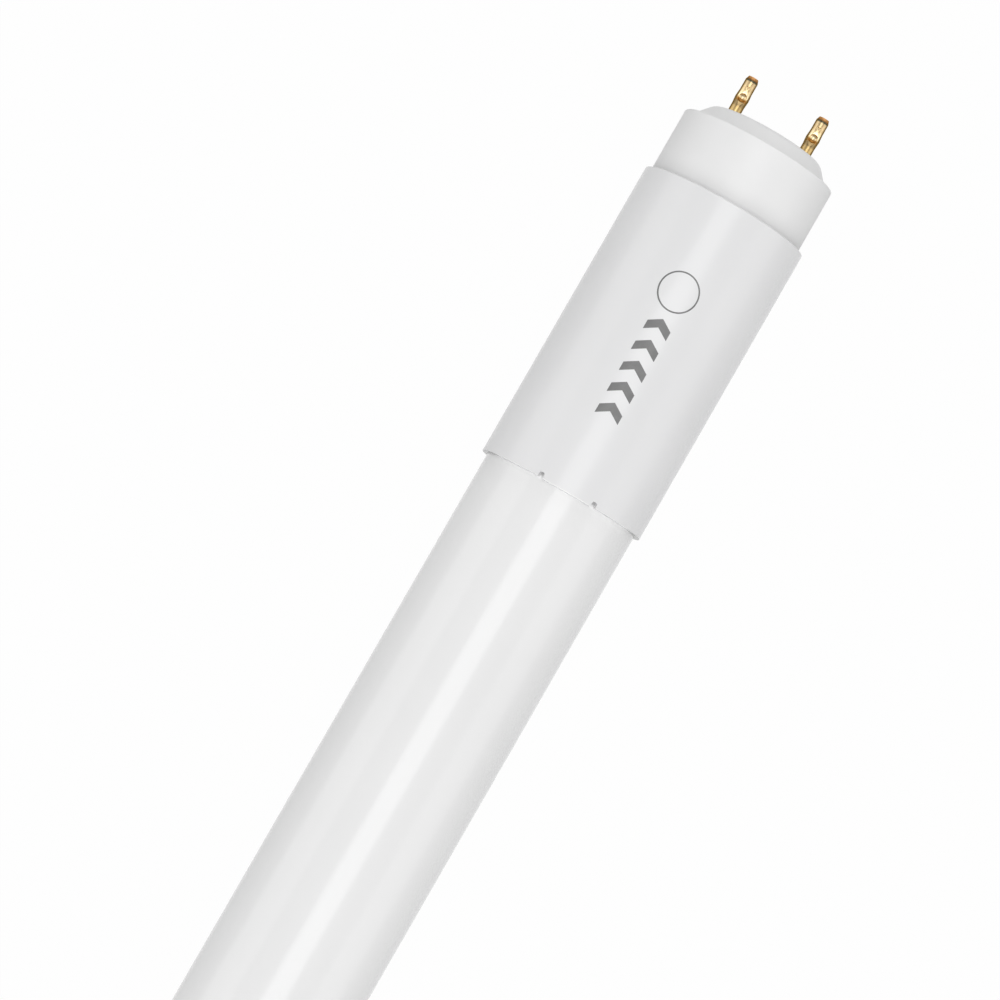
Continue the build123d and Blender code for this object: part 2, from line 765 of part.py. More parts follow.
bridge_legs = [s * bridge_leg_pitch / 2 for s in (-1, 1)]
bridge_rectifier = winged_package(
    bulk_base_x + bulk_length, 0, bridge_length, bridge_width, bridge_height, bridge_legs
)
chip_legs = [(i - 1.5) * chip_leg_pitch for i in range(4)]
driver_chip = winged_package(
    bulk_base_x + chip_length / 2, 0, chip_length, chip_width, chip_height, chip_legs
)

# Diode under the board, on two end tabs
diode_tab_length = diode_length / 4
diode_x = output_can_x - solder_diameter / 2 - part_gap - diode_length / 2 - diode_tab_length
with BuildPart() as output_diode:
    with BuildSketch(Plane.XY.offset(board_bottom - leg_thickness)):
        with Locations((diode_x, row_offset)):
            Rectangle(diode_length, diode_width)
    extrude(amount=leg_thickness - diode_height)
    chamfer(output_diode.faces().sort_by(Axis.Z)[0].edges(), length=package_chamfer)
    with BuildSketch(Plane.XY.offset(board_bottom)):
        for side in (-1, 1):
            with Locations((diode_x + side * diode_length / 2, row_offset)):
                Rectangle(2 * diode_tab_length, diode_tab_width)
    extrude(amount=-leg_thickness)

# Row of chip resistors under the board, between the chip and the bridge
resistor_row_x = (bulk_base_x + chip_length + bulk_base_x + bulk_length - bridge_length / 2) / 2
with BuildPart() as chip_resistors:
    with BuildSketch(Plane.XY.offset(board_bottom)):
        with Locations((resistor_row_x, 0)):
            with GridLocations(0, resistor_pitch, 1, resistor_count):
                Rectangle(resistor_length, resistor_width)
    extrude(amount=-resistor_height)

# Wires from the pins to the driver board
wire_start_x = crimp_x + conductor_diameter


def mains_wire(y):
    """Wire from the pin at y down into the driver board."""
    return insulated_wire(
        [(wire_start_x, y, 0), (mains_pad_x, y, 0), (mains_pad_x, y, tail_z)],
        [
            (pin_inner_x - strip_back, y, 0),
            (mains_pad_x, y, 0),
            (mains_pad_x, y, board_top + strip_back),
        ],
        short_bend,
    )


def output_wire(y):
    """Wire from the driver board up to the underside of the LED board."""
    knee = (output_pad_x, y, lap_z - output_wire_knee)
    lap_start = (lap_start_x, y, lap_z)
    return insulated_wire(
        [(output_pad_x, y, tail_z), knee, lap_start, (lap_end_x, y, lap_z)],
        [(output_pad_x, y, board_top + strip_back), knee, part_way(knee, lap_start, 0.5)],
        short_bend,
    )


def far_wire(y, board_y):
    """Wire from the far pin at y up to the far end of the LED board."""
    corner = (-pin_inner_x + far_wire_straight, y, 0)
    lap_start = (-led_board_end_x - far_wire_straight / 2, board_y, lap_z)
    return insulated_wire(
        [(-wire_start_x, y, 0), corner, lap_start, (-lap_end_x, board_y, lap_z)],
        [(-pin_inner_x + strip_back, y, 0), corner, part_way(corner, lap_start, 0.9)],
        long_bend,
    )


driver_end_wire_left = mains_wire(pin_y)
driver_end_wire_right = mains_wire(-pin_y)
output_wire_left = output_wire(led_wire_y)
output_wire_right = output_wire(-led_wire_y)
far_end_wire_left = far_wire(pin_y, led_wire_y)
far_end_wire_right = far_wire(-pin_y, -led_wire_y)

# Solder that laps the wires' bare ends onto the LED board
with BuildPart() as led_board_solder:
    with BuildSketch(end_plane(lap_end_x + lap_solder_setback)):
        with GridLocations(led_wire_pitch, 0, 2, 1):
            with Locations((0, lap_z)):
                RegularPolygon(lap_solder_diameter / 2, lead_sides)
                RegularPolygon(conductor_radius, lead_sides, mode=Mode.SUBTRACT)
        with Locations((0, led_board_bottom)):
            Rectangle(
                led_board_width,
                2 * lap_solder_diameter,
                align=(Align.CENTER, Align.MAX),
                mode=Mode.INTERSECT,
            )
    extrude(amount=lap_length / 2)
    mirror(about=Plane.YZ)

pieces = {
    "glass_tube": glass_tube,
    "driver_end_sleeve": driver_end_sleeve,
    "driver_end_glue": driver_end_glue,
    "driver_end_cap": driver_end_cap,
    "driver_end_pin_left": driver_end_pin_left,
    "driver_end_pin_right": driver_end_pin_right,
    "driver_end_wire_left": driver_end_wire_left,
    "driver_end_wire_right": driver_end_wire_right,
    "far_end_sleeve": mirrored(driver_end_sleeve),
    "far_end_glue": mirrored(driver_end_glue),
    "far_end_cap": mirrored(driver_end_cap),
    "far_end_pin_left": mirrored(driver_end_pin_left),
    "far_end_pin_right": mirrored(driver_end_pin_right),
    "far_end_wire_left": far_end_wire_left,
    "far_end_wire_right": far_end_wire_right,
    "led_board": led_board,
    "strip_glue": strip_glue,
    "led_packages": led_packages,
    "led_phosphors": led_phosphors,
    "led_board_solder": led_board_solder,
    "driver_board": driver_board,
    "driver_board_solder": driver_board_solder,
    "varistor": varistor,
    "film_capacitor": film_capacitor,
    "fuse_resistor": fuse_resistor,
    "choke_core": choke_core,
    "choke_winding": choke_winding,
    "bulk_capacitor": bulk_capacitor,
    "output_capacitor": output_capacitor,
    "inductor_core": inductor_core,
    "inductor_bobbin": inductor_bobbin,
    "inductor_winding": inductor_winding,
    "bridge_rectifier": bridge_rectifier,
    "driver_chip": driver_chip,
    "output_diode": output_diode,
    "chip_resistors": chip_resistors,
    "output_wire_left": output_wire_left,
    "output_wire_right": output_wire_right,
}

os.makedirs("parts", exist_ok=True)
for name, piece in pieces.items():
    piece.part.label = name
    export_step(piece.part, f"parts/{name}.step")
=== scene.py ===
"""LED tube lamp: its glass, sleeves, caps and pins as rounded surfaces, the finishes of the parts inside,
the stage and the camera."""

import json
import math

import bpy
import numpy as np
from bpy.props import FloatProperty, FloatVectorProperty, IntProperty, PointerProperty
from mathutils import Matrix, Vector


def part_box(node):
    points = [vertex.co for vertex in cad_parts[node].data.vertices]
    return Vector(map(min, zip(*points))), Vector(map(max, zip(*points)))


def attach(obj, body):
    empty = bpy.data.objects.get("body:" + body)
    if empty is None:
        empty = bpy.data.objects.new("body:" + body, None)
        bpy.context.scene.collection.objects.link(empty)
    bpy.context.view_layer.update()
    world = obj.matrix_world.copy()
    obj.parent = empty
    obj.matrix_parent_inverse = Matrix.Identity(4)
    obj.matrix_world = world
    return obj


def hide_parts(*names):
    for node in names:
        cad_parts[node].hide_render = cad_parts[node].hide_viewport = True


bl_info = {
    "name": "LED Tube Lamp",
    "version": (1, 0, 0),
    "blender": (4, 5, 0),
    "location": "View3D > Sidebar > LED Tube",
    "description": "Builds and finishes a tube lamp with a sleeve and a two-pin cap at each end",
    "category": "Object",
}

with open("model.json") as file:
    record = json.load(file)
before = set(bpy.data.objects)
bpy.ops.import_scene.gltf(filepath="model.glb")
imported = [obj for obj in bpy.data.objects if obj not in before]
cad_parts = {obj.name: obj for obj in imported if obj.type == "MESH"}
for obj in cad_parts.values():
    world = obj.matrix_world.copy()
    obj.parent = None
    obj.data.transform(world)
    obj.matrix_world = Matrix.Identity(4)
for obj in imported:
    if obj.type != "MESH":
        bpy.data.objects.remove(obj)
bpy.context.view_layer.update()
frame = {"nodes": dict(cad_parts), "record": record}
nodes = frame["nodes"]
record = frame["record"]

MM = 0.001
ENDS = {"driver_end": 1, "far_end": -1}
SLOT_COLOURS = {entry["slot"]: tuple(entry["base_color"][:3]) for entry in record["materials"]}
SLOT_NODES = {}
for entry in record["subparts"]:
    SLOT_NODES.setdefault(entry["material_slot"], []).append(entry["node"])

# Places that the pieces take from the solids
GLASS_END_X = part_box("glass_tube")[1].x
GLASS_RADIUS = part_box("glass_tube")[1].y
SLEEVE_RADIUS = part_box("driver_end_sleeve")[1].z
SLEEVE_MOUTH_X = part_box("driver_end_sleeve")[1].x
SLEEVE_TAB_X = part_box("driver_end_sleeve")[0].x
CAP_INNER_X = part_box("driver_end_cap")[0].x
CAP_FACE_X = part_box("driver_end_cap")[1].x
PIN_INNER_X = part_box("driver_end_pin_left")[0].x
PIN_TIP_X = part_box("driver_end_pin_left")[1].x
PIN_Y = sum(corner.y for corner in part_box("driver_end_pin_left")) / 2

# Roundings of edges that hardly show
GLASS_EASE = 0.15 * MM
INNER_EASE = 0.3 * MM
FINE_EASE = 0.1 * MM
BORE_EASE = 0.05 * MM
SHARP_ANGLE = math.radians(35)

# Pins
FLANGE_THICKNESS = 0.5 * MM
CONDUCTOR_RADIUS = 0.35 * MM
GROOVE_NARROW, GROOVE_GROWTH = 0.3 * MM, 0.5 * MM  # its radius at the dent, and how much wider it ends
GROOVE_LIFT = 0.66 * MM  # from the pin's side out to the middle of the groove's cone

# Printed mark
ARROW_TAILS_X = MM * np.linspace(242.8, 257.6, 5)
ARROW_SLOPE = 0.62
RING_X = 265.1 * MM
INK_RADII = (SLEEVE_RADIUS - 0.001 * MM, SLEEVE_RADIUS - 0.05 * MM)

# Painted light and shade on what shows: a lighter band on the glass just before a sleeve's rim, painted shade on the
# glass inside the rim where the slits show it, painted light on the rim's edge with painted shade at its sides, and
# painted shade on a cap's neck by the sleeve's mouth
RIM_PAINTED_LIGHT_AND_SHADE = ((-0.5 * MM, -0.1 * MM, 0.87), (0.0, 0.55 * MM, 0.50))
RIM_EDGE_PAINTED_LIGHT, RIM_SIDE_SHADE = 0.83, 0.28
RIM_SIDE_Y = (10.6 * MM, 12.8 * MM)
NECK_SHADE, NECK_SHADE_REACH = 0.76, 3.6 * MM

# Painted light and shade on a pin's brass, from the cap's face to the pin's tip: darker bands below the crimp,
# painted shade and a painted highlight on the crimp's dent, and painted reflections as dark, brown and orange bands
# at the tip
PIN_PAINTED_LIGHT = (
    (0.0, (0.48, 0.41, 0.28)), (0.20, (0.49, 0.41, 0.29)), (0.26, (0.27, 0.23, 0.18)), (0.34, (0.26, 0.22, 0.17)),
    (0.37, (0.30, 0.17, 0.075)), (0.42, (0.32, 0.19, 0.085)), (0.47, (0.93, 0.92, 0.90)), (0.52, (0.83, 0.83, 0.83)),
    (0.60, (0.77, 0.74, 0.70)), (0.66, (0.62, 0.55, 0.48)), (0.86, (0.53, 0.47, 0.42)), (0.885, (0.06, 0.085, 0.095)),
    (0.905, (0.07, 0.075, 0.07)), (0.925, (0.22, 0.12, 0.07)), (0.955, (0.45, 0.27, 0.16)), (1.0, (0.60, 0.36, 0.21)),
)

# Colour bands of the fuse resistor: place along it in mm, and colour
FUSE_BANDS = (
    (-2.9, (0.25, 0.09, 0.03)), (-1.4, (0.02, 0.02, 0.02)), (-0.2, (0.02, 0.02, 0.02)), (1.9, (0.55, 0.38, 0.1)))
BAND_HALF = 0.32 * MM
STRIPE_HALF = 1.2 * MM
TURN_PITCH = 0.32 * MM

# Insulation between the planes where it is stripped, as lowest and highest corners in mm
INSULATED = {
    "driver_end_wire": ((280.0, -20.0, -3.2), (288.8, 20.0, 20.0)),
    "far_end_wire": ((-288.8, -20.0, -20.0), (-238.2, 20.0, 20.0)),
    "output_wire": ((200.0, -20.0, -3.2), (260.0, 20.0, 4.0)),
}

# Stage
WHITE = (1.0, 1.0, 1.0, 1.0)
PAPER = (0.38, 0.38, 0.38, 1.0)
PAPER_GLOW = 0.985  # share of plain white in the paper as the camera sees it
FLOOR_HALF = 3.0
# Lamps: name, place, the point each faces, size, and the setting with its power
LAMPS = (
    ("top_lamp", (0.1, -0.05, 1.0), (0.1, 0.0, 0.0), (1.6, 0.5), "strip_power"),
    ("left_lamp", (0.0, 0.93, 0.36), (0.0, 0.0, 0.0), (1.8, 0.75), "side_power"),
    ("right_lamp", (0.0, -0.99, 0.38), (0.0, 0.0, 0.0), (1.8, 0.75), "side_power"),
    ("driver_end_lamp", (1.35, 0.0, 0.45), (0.3, 0.0, 0.0), (0.5, 1.0), "end_power"),
    ("far_end_lamp", (-1.35, 0.0, 0.45), (-0.3, 0.0, 0.0), (0.5, 1.0), "end_power"),
)


# Settings

def length(name, description, millimetres):
    """A length property that starts at this many millimetres."""
    return FloatProperty(name=name, description=description, unit="LENGTH", default=millimetres * MM)


def angle(name, description, degrees):
    """An angle property that starts at this many degrees."""
    return FloatProperty(
        name=name, description=description, subtype="ANGLE", unit="ROTATION", default=math.radians(degrees))


def power(name, description, watts):
    """A lamp's power."""
    return FloatProperty(name=name, description=description, unit="POWER", default=watts, min=0.0)


def colour(name, description, value):
    """A colour property."""
    return FloatVectorProperty(name=name, description=description, subtype="COLOR", default=value, min=0, max=1)


class LampSizeSettings(bpy.types.PropertyGroup):
    """Sizes of the pieces that show."""

    round_sides: IntProperty(name="Round sides", description="Facets round a full turn", default=180, min=48)
    glass_wall: length("Glass wall", "Thickness of the glass tube", 0.9)
    sleeve_fit: length("Sleeve fit", "Room between a sleeve and the glass", 0.02)
    sleeve_ink_room: length("Ink room", "How far a sleeve stays inside its solid, for the print on it", 0.01)
    rim_round: length("Rim edge", "Rounding of a sleeve's edge on the glass", 0.05)
    mouth_round: length("Mouth edge", "Rounding of a sleeve's edge at the cap", 0.2)
    slit_width: length("Slit width", "Width of the two slits in a sleeve's rim", 1.0)
    slit_depth: length("Slit depth", "Depth of the two slits in a sleeve's rim", 0.82)
    tab_drop: length("Tab drop", "How far the tab between the slits reaches past the rim", 0.15)
    tab_half_angle: angle("Slit angle", "From the middle of the tab to each slit", 19.4)
    tab_turn: angle("Tab turn", "From the top round to the middle of the tab", -1.6)
    cap_wall: length("Cap wall", "Thickness of the caps", 1.3)
    cap_shoulder: length("Shoulder place", "From the solid cap's face back to its shoulder", 2.9)
    cap_cone_height: length("Cone height", "From a cap's shoulder to its face", 2.7)
    cap_foot_inset: length("Cone foot", "From the neck's side in to the foot of the cone", 1.25)
    cap_face_inset: length("Cone top", "From the neck's side in to the cap's face", 3.6)
    shoulder_round: length("Shoulder edge", "Rounding of a cap's shoulder", 0.28)
    face_round: length("Face edge", "Rounding of the edge of a cap's face", 1.5)
    boss_radius: length("Pin boss", "Radius of the boss that holds a pin", 2.4)
    boss_length: length("Boss length", "Length of the boss that holds a pin", 4.0)
    pin_radius: length("Pin radius", "Radius of a pin's straight part", 1.05)
    pin_tip_radius: length("Pin tip", "Radius of a pin at its tip", 0.825)
    pin_taper: length("Pin taper", "Length of the taper at a pin's tip", 0.6)
    pin_bore: length("Pin bore", "Radius of the hollow in a pin", 0.7)
    pin_tip_hole: length("Tip hole", "Radius of the hole in a pin's tip", 0.5)
    pin_flange: length("Pin flange", "Radius of the flange behind a boss", 1.8)
    crimp_from_tip: length("Crimp place", "From a pin's tip back to its crimp", 3.7)
    crimp_half: length("Crimp reach", "Half the length of a pin's crimp", 1.25)
    crimp_swell: length("Crimp swell", "How far the crimp bulges at the sides", 0.11)
    crimp_squeeze: length("Crimp squeeze", "How far the crimp is flattened above and below", 0.12)
    dent_radius: length("Dent radius", "Radius of the ball-shaped dents", 0.8)
    dent_depth: length("Dent depth", "Depth of the ball-shaped dents", 0.4)
    groove_length: length("Groove length", "Length of the shallow groove above a dent", 2.0)
    mark_width: length("Mark width", "Width of the arrows on the sleeve", 4.05)
    mark_stroke: length("Mark stroke", "Width of the arrows' lines", 1.5)
    ring_radius: length("Ring radius", "Radius of the printed ring", 3.2)
    ring_stroke: length("Ring stroke", "Width of the printed ring's line", 0.24)


class LampFinishSettings(bpy.types.PropertyGroup):
    """Colours of the pieces that show."""

    opal: colour("Opal glass", "Colour of the diffusing glass tube", (0.80, 0.80, 0.80))
    sleeve: colour("Sleeves", "Colour of the collar at each end", (0.755, 0.755, 0.76))
    cap: colour("Caps", "Colour of the moulded caps", (0.79, 0.79, 0.79))
    brass: colour("Pins", "Colour of the contact pins", (0.88, 0.74, 0.46))
    # Painted shade along the two sides of each pin.
    pin_side_shade: colour("Tarnish", "Colour of the pins where they are tarnished", (0.20, 0.135, 0.055))
    mark: colour("Printed mark", "Colour of the plain mark on the sleeve", (0.132, 0.132, 0.132))
    tin: colour("Tin", "Colour of solder, leads and legs", (0.72, 0.72, 0.72))
    track: colour("Tracks", "Colour of the copper under the green lacquer", (0.17, 0.45, 0.25))


class LampStageSettings(bpy.types.PropertyGroup):
    """Camera, lamps and floor."""

    lens: FloatProperty(
        name="Lens", description="Focal length of the camera",
        subtype="DISTANCE_CAMERA", default=180.0, min=1.0)
    distance: FloatProperty(
        name="Camera distance", description="From the camera to the point it looks at",
        unit="LENGTH", default=0.775, min=0.05)
    tilt: angle("Tilt", "How far the camera's view leans along the tube", 3.4)
    turn: angle("Turn", "Angle between the tube and the picture's upright", 29.97)
    aim: FloatVectorProperty(
        name="Aim", description="Point in the middle of the picture",
        subtype="TRANSLATION", unit="LENGTH", default=(0.22475, 0.00778, 0.0))
    strip_power: power("Top lamp", "Power of the long lamp above the tube", 7.0)
    side_power: power("Side lamps", "Power of the soft lamp at each side", 4.6)
    end_power: power("End lamps", "Power of the soft lamp beyond each end", 2.8)
    sky: FloatProperty(
        name="Room light", description="Strength of the even light from all round",
        default=0.25, min=0.0)


# Surfaces

def rounded_outline(corners, radii, steps=7, support=0.12 * MM):
    """Closed outline through the corners. Each corner is a circular arc, which is the rational curve from one
    tangent point over the corner to the other, with the sine of half the inside angle as its middle weight. A
    support point beyond each tangent point keeps the flat sides flat."""
    corners = np.asarray(corners, dtype=float)
    radii = np.asarray(radii, dtype=float)[:, None]
    to_last = np.roll(corners, 1, axis=0) - corners
    to_next = np.roll(corners, -1, axis=0) - corners
    to_last /= np.linalg.norm(to_last, axis=1, keepdims=True)
    to_next /= np.linalg.norm(to_next, axis=1, keepdims=True)
    half_angle = np.arccos(np.clip(np.sum(to_last * to_next, axis=1, keepdims=True), -1, 1)) / 2
    setback = radii / np.tan(half_angle)
    start = (corners + setback * to_last)[:, None]
    end = (corners + setback * to_next)[:, None]
    weight = np.sin(half_angle)[:, :, None]
    t = np.linspace(0, 1, steps)[None, :, None]
    over = (1 - t) ** 2 * start + 2 * t * (1 - t) * weight * corners[:, None] + t ** 2 * end
    arcs = over / ((1 - t) ** 2 + 2 * t * (1 - t) * weight + t ** 2)
    before = start + support * to_last[:, None]
    after = end + support * to_next[:, None]
    return np.concatenate([before, arcs, after], axis=1).reshape(-1, 2)


def even_angles(count):
    """Angles round a full turn, from the top."""
    return np.arange(count) * (2 * math.pi / count)


def turned(outline, angles):
    """Rings of an outline of x and radius turned about the x axis: y is the radius times the angle's sine and z
    is the radius times its cosine."""
    x, radius = outline[:, :1], outline[:, 1:]
    return np.stack(np.broadcast_arrays(x, radius * np.sin(angles), radius * np.cos(angles)), axis=-1)


def joined_rings(rings, poles=None):
    """Points and faces of rings joined in order. A loop of rings closes on itself, and an open run closes at its
    two poles."""
    count, sides = rings.shape[:2]
    i = np.arange(count if poles is None else count - 1)[:, None]
    j = np.arange(sides)[None, :]
    near, far, ahead = i * sides, (i + 1) % count * sides, (j + 1) % sides
    quads = np.stack(np.broadcast_arrays(near + j, far + j, far + ahead, near + ahead), axis=-1)
    faces = quads.reshape(-1, 4).tolist()
    points = rings.reshape(-1, 3)
    if poles is not None:
        j, ahead, end = j[0], ahead[0], (count - 1) * sides
        first = np.full(sides, count * sides)
        faces += np.stack([first, j, ahead], axis=-1).tolist()
        faces += np.stack([end + j, first + 1, end + ahead], axis=-1).tolist()
        points = np.vstack([points, poles])
    return points, faces


def closed_strip(top, bottom, loop):
    """Points and faces of a strip with a top and a bottom layer of the same grid, walled at its edges. A loop
    closes on itself along its first direction."""
    rows, columns = top.shape[:2]
    cells = rows if loop else rows - 1
    i, j = np.arange(cells)[:, None], np.arange(columns - 1)[None, :]
    here, there = i * columns, (i + 1) % rows * columns
    upper = np.stack(
        np.broadcast_arrays(here + j, here + j + 1, there + j + 1, there + j), axis=-1).reshape(-1, 4)
    count = rows * columns
    quads = [upper, upper[:, ::-1] + count]
    for column, order in ((0, (0, 1, 2, 3)), (columns - 1, (3, 2, 1, 0))):
        near, far = here[:, 0] + column, there[:, 0] + column
        quads.append(np.stack([near, far, far + count, near + count], axis=-1)[:, list(order)])
    if not loop:
        for row, order in ((0, (3, 2, 1, 0)), (rows - 1, (0, 1, 2, 3))):
            near = row * columns + j[0]
            quads.append(np.stack([near, near + 1, near + 1 + count, near + count], axis=-1)[:, list(order)])
    return np.vstack([top.reshape(-1, 3), bottom.reshape(-1, 3)]), np.vstack(quads).tolist()


def new_piece(name, parts, material, stands_for=(), end=1):
    """Piece made of closed surfaces, each a pair of points and faces. The far end's is the mirror image, with its
    faces turned to point outwards again."""
    points, faces, used = [], [], 0
    for part_points, part_faces in parts:
        points.append(part_points)
        faces += [[used + corner for corner in face] for face in part_faces]
        used += len(part_points)
    points = np.vstack(points)
    if end < 0:
        points = points * (-1.0, 1.0, 1.0)
        faces = [face[::-1] for face in faces]
    mesh = bpy.data.meshes.new(name)
    mesh.from_pydata(points.tolist(), [], faces)
    mesh.materials.append(material)
    mesh.polygons.foreach_set("use_smooth", np.ones(len(mesh.polygons), dtype=bool))
    mesh.set_sharp_from_angle(angle=SHARP_ANGLE)
    piece = bpy.data.objects.new(name, mesh)
    bpy.context.scene.collection.objects.link(piece)
    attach(piece, "root")
    if stands_for:
        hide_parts(*stands_for)
    return piece


# Nodes and node groups

def add_node(tree, node_type, settings=None, inputs=None):
    """A new node in the tree with its own settings and inputs, each a value or an output to link."""
    node = tree.nodes.new(node_type)
    for key, value in (settings or {}).items():
        setattr(node, key, value)
    for key, value in (inputs or {}).items():
        if isinstance(value, bpy.types.NodeSocket):
            tree.links.new(value, node.inputs[key])
        else:
            node.inputs[key].default_value = value
    return node


def maths(tree, operation, *values):
    """Output of a Math node with these values."""
    return add_node(tree, "ShaderNodeMath", {"operation": operation}, dict(enumerate(values))).outputs[0]


def ranged(tree, value, start, end, low=0.0, high=1.0):
    """The value carried from start..end to low..high, eased at both ends."""
    return add_node(tree, "ShaderNodeMapRange", {"interpolation_type": "SMOOTHSTEP"}, {
        "Value": value, "From Min": start, "From Max": end, "To Min": low, "To Max": high}).outputs[0]


def blended(tree, share, first, second):
    """First colour changing to the second as the share goes from 0 to 1."""
    return add_node(tree, "ShaderNodeMix", {"data_type": "RGBA"}, {0: share, 6: first, 7: second}).outputs[2]


def grey(value):
    """A grey of this value."""
    return (value, value, value)


def opaque(rgb, share=1.0):
    """The colour scaled by a share, as four numbers."""
    return (*(share * c for c in rgb), 1.0)


def new_group(name, sockets):
    """An empty node group with the given sockets, and the outputs of its input node."""
    tree = bpy.data.node_groups.new(name, "ShaderNodeTree")
    for socket, direction, kind in sockets:
        tree.interface.new_socket(name=socket, in_out=direction, socket_type="NodeSocket" + kind)
    return tree, tree.nodes.new("NodeGroupInput").outputs


def grain_group():
    """Cloudy colour, uneven gloss and a fine skin, from noise at two sizes."""
    tree, given = new_group("surface_grain", (
        ("Vector", "INPUT", "Vector"), ("Colour", "INPUT", "Color"), ("Shade", "INPUT", "Color"),
        ("Cloud Size", "INPUT", "Float"), ("Grain Size", "INPUT", "Float"), ("Gloss Low", "INPUT", "Float"),
        ("Gloss High", "INPUT", "Float"), ("Colour", "OUTPUT", "Color"), ("Roughness", "OUTPUT", "Float"),
        ("Height", "OUTPUT", "Float")))
    clouds = add_node(tree, "ShaderNodeTexNoise", inputs={
        "Vector": given["Vector"], "Scale": given["Cloud Size"], "Detail": 3.0, "Roughness": 0.55})
    grain = add_node(tree, "ShaderNodeTexNoise", inputs={
        "Vector": given["Vector"], "Scale": given["Grain Size"], "Detail": 2.0, "Roughness": 0.6})
    tone = ranged(tree, clouds.outputs[0], 0.35, 0.65)
    gloss = ranged(tree, grain.outputs[0], 0.3, 0.7, given["Gloss Low"], given["Gloss High"])
    add_node(tree, "NodeGroupOutput", inputs={
        "Colour": blended(tree, tone, given["Colour"], given["Shade"]),
        "Roughness": gloss, "Height": grain.outputs[0]})
    return tree


def turns_group():
    """Turns of wire side by side along x: dark between them, raised at their middle."""
    tree, given = new_group("wire_turns", (
        ("Vector", "INPUT", "Vector"), ("Turns", "INPUT", "Float"),
        ("Gap", "OUTPUT", "Float"), ("Height", "OUTPUT", "Float")))
    wave = add_node(tree, "ShaderNodeTexWave", {"wave_profile": "SIN"}, {
        "Vector": given["Vector"], "Scale": given["Turns"], "Distortion": 0.35, "Detail": 1.0,
        "Detail Scale": 0.6})
    gap = ranged(tree, wave.outputs["Fac"], 0.28, 0.05)
    add_node(tree, "NodeGroupOutput", inputs={"Gap": gap, "Height": wave.outputs["Fac"]})
    return tree


def tracks_group():
    """Copper under lacquer: strips side by side with thin gaps, cut across at uneven places."""
    tree, given = new_group("board_tracks", (
        ("Vector", "INPUT", "Vector"), ("Strips", "INPUT", "Float"), ("Copper", "OUTPUT", "Float")))
    bricks = add_node(tree, "ShaderNodeTexBrick", {"offset": 0.37, "squash": 1.6, "squash_frequency": 3}, {
        "Vector": given["Vector"], "Scale": given["Strips"], "Mortar Size": 0.022, "Mortar Smooth": 0.1,
        "Brick Width": 1.9, "Row Height": 0.34})
    add_node(tree, "NodeGroupOutput", inputs={"Copper": maths(tree, "SUBTRACT", 1.0, bricks.outputs["Fac"])})
    return tree


def block_group():
    """Mask that is 1 inside a block given by its middle and half its size."""
    tree, given = new_group("inside_block", (
        ("Vector", "INPUT", "Vector"), ("Middle", "INPUT", "Vector"), ("Half Size", "INPUT", "Vector"),
        ("Inside", "OUTPUT", "Float")))
    away = add_node(tree, "ShaderNodeVectorMath", {"operation": "SUBTRACT"},
                    {0: given["Vector"], 1: given["Middle"]}).outputs[0]
    away = add_node(tree, "ShaderNodeVectorMath", {"operation": "ABSOLUTE"}, {0: away}).outputs[0]
    room = add_node(tree, "ShaderNodeVectorMath", {"operation": "SUBTRACT"},
                    {0: given["Half Size"], 1: away}).outputs[0]
    parts = add_node(tree, "ShaderNodeSeparateXYZ", inputs={0: room}).outputs
    least = maths(tree, "MINIMUM", maths(tree, "MINIMUM", parts[0], parts[1]), parts[2])
    add_node(tree, "NodeGroupOutput", inputs={"Inside": maths(tree, "GREATER_THAN", least, 0.0)})
    return tree


GROUP_MAKERS = {"surface_grain": grain_group, "wire_turns": turns_group,
                "board_tracks": tracks_group, "inside_block": block_group}


def add_group(tree, name, inputs):
    """The named node group placed in the tree with its own inputs."""
    group = bpy.data.node_groups.get(name) or GROUP_MAKERS[name]()
    return add_node(tree, "ShaderNodeGroup", {"node_tree": group}, inputs).outputs


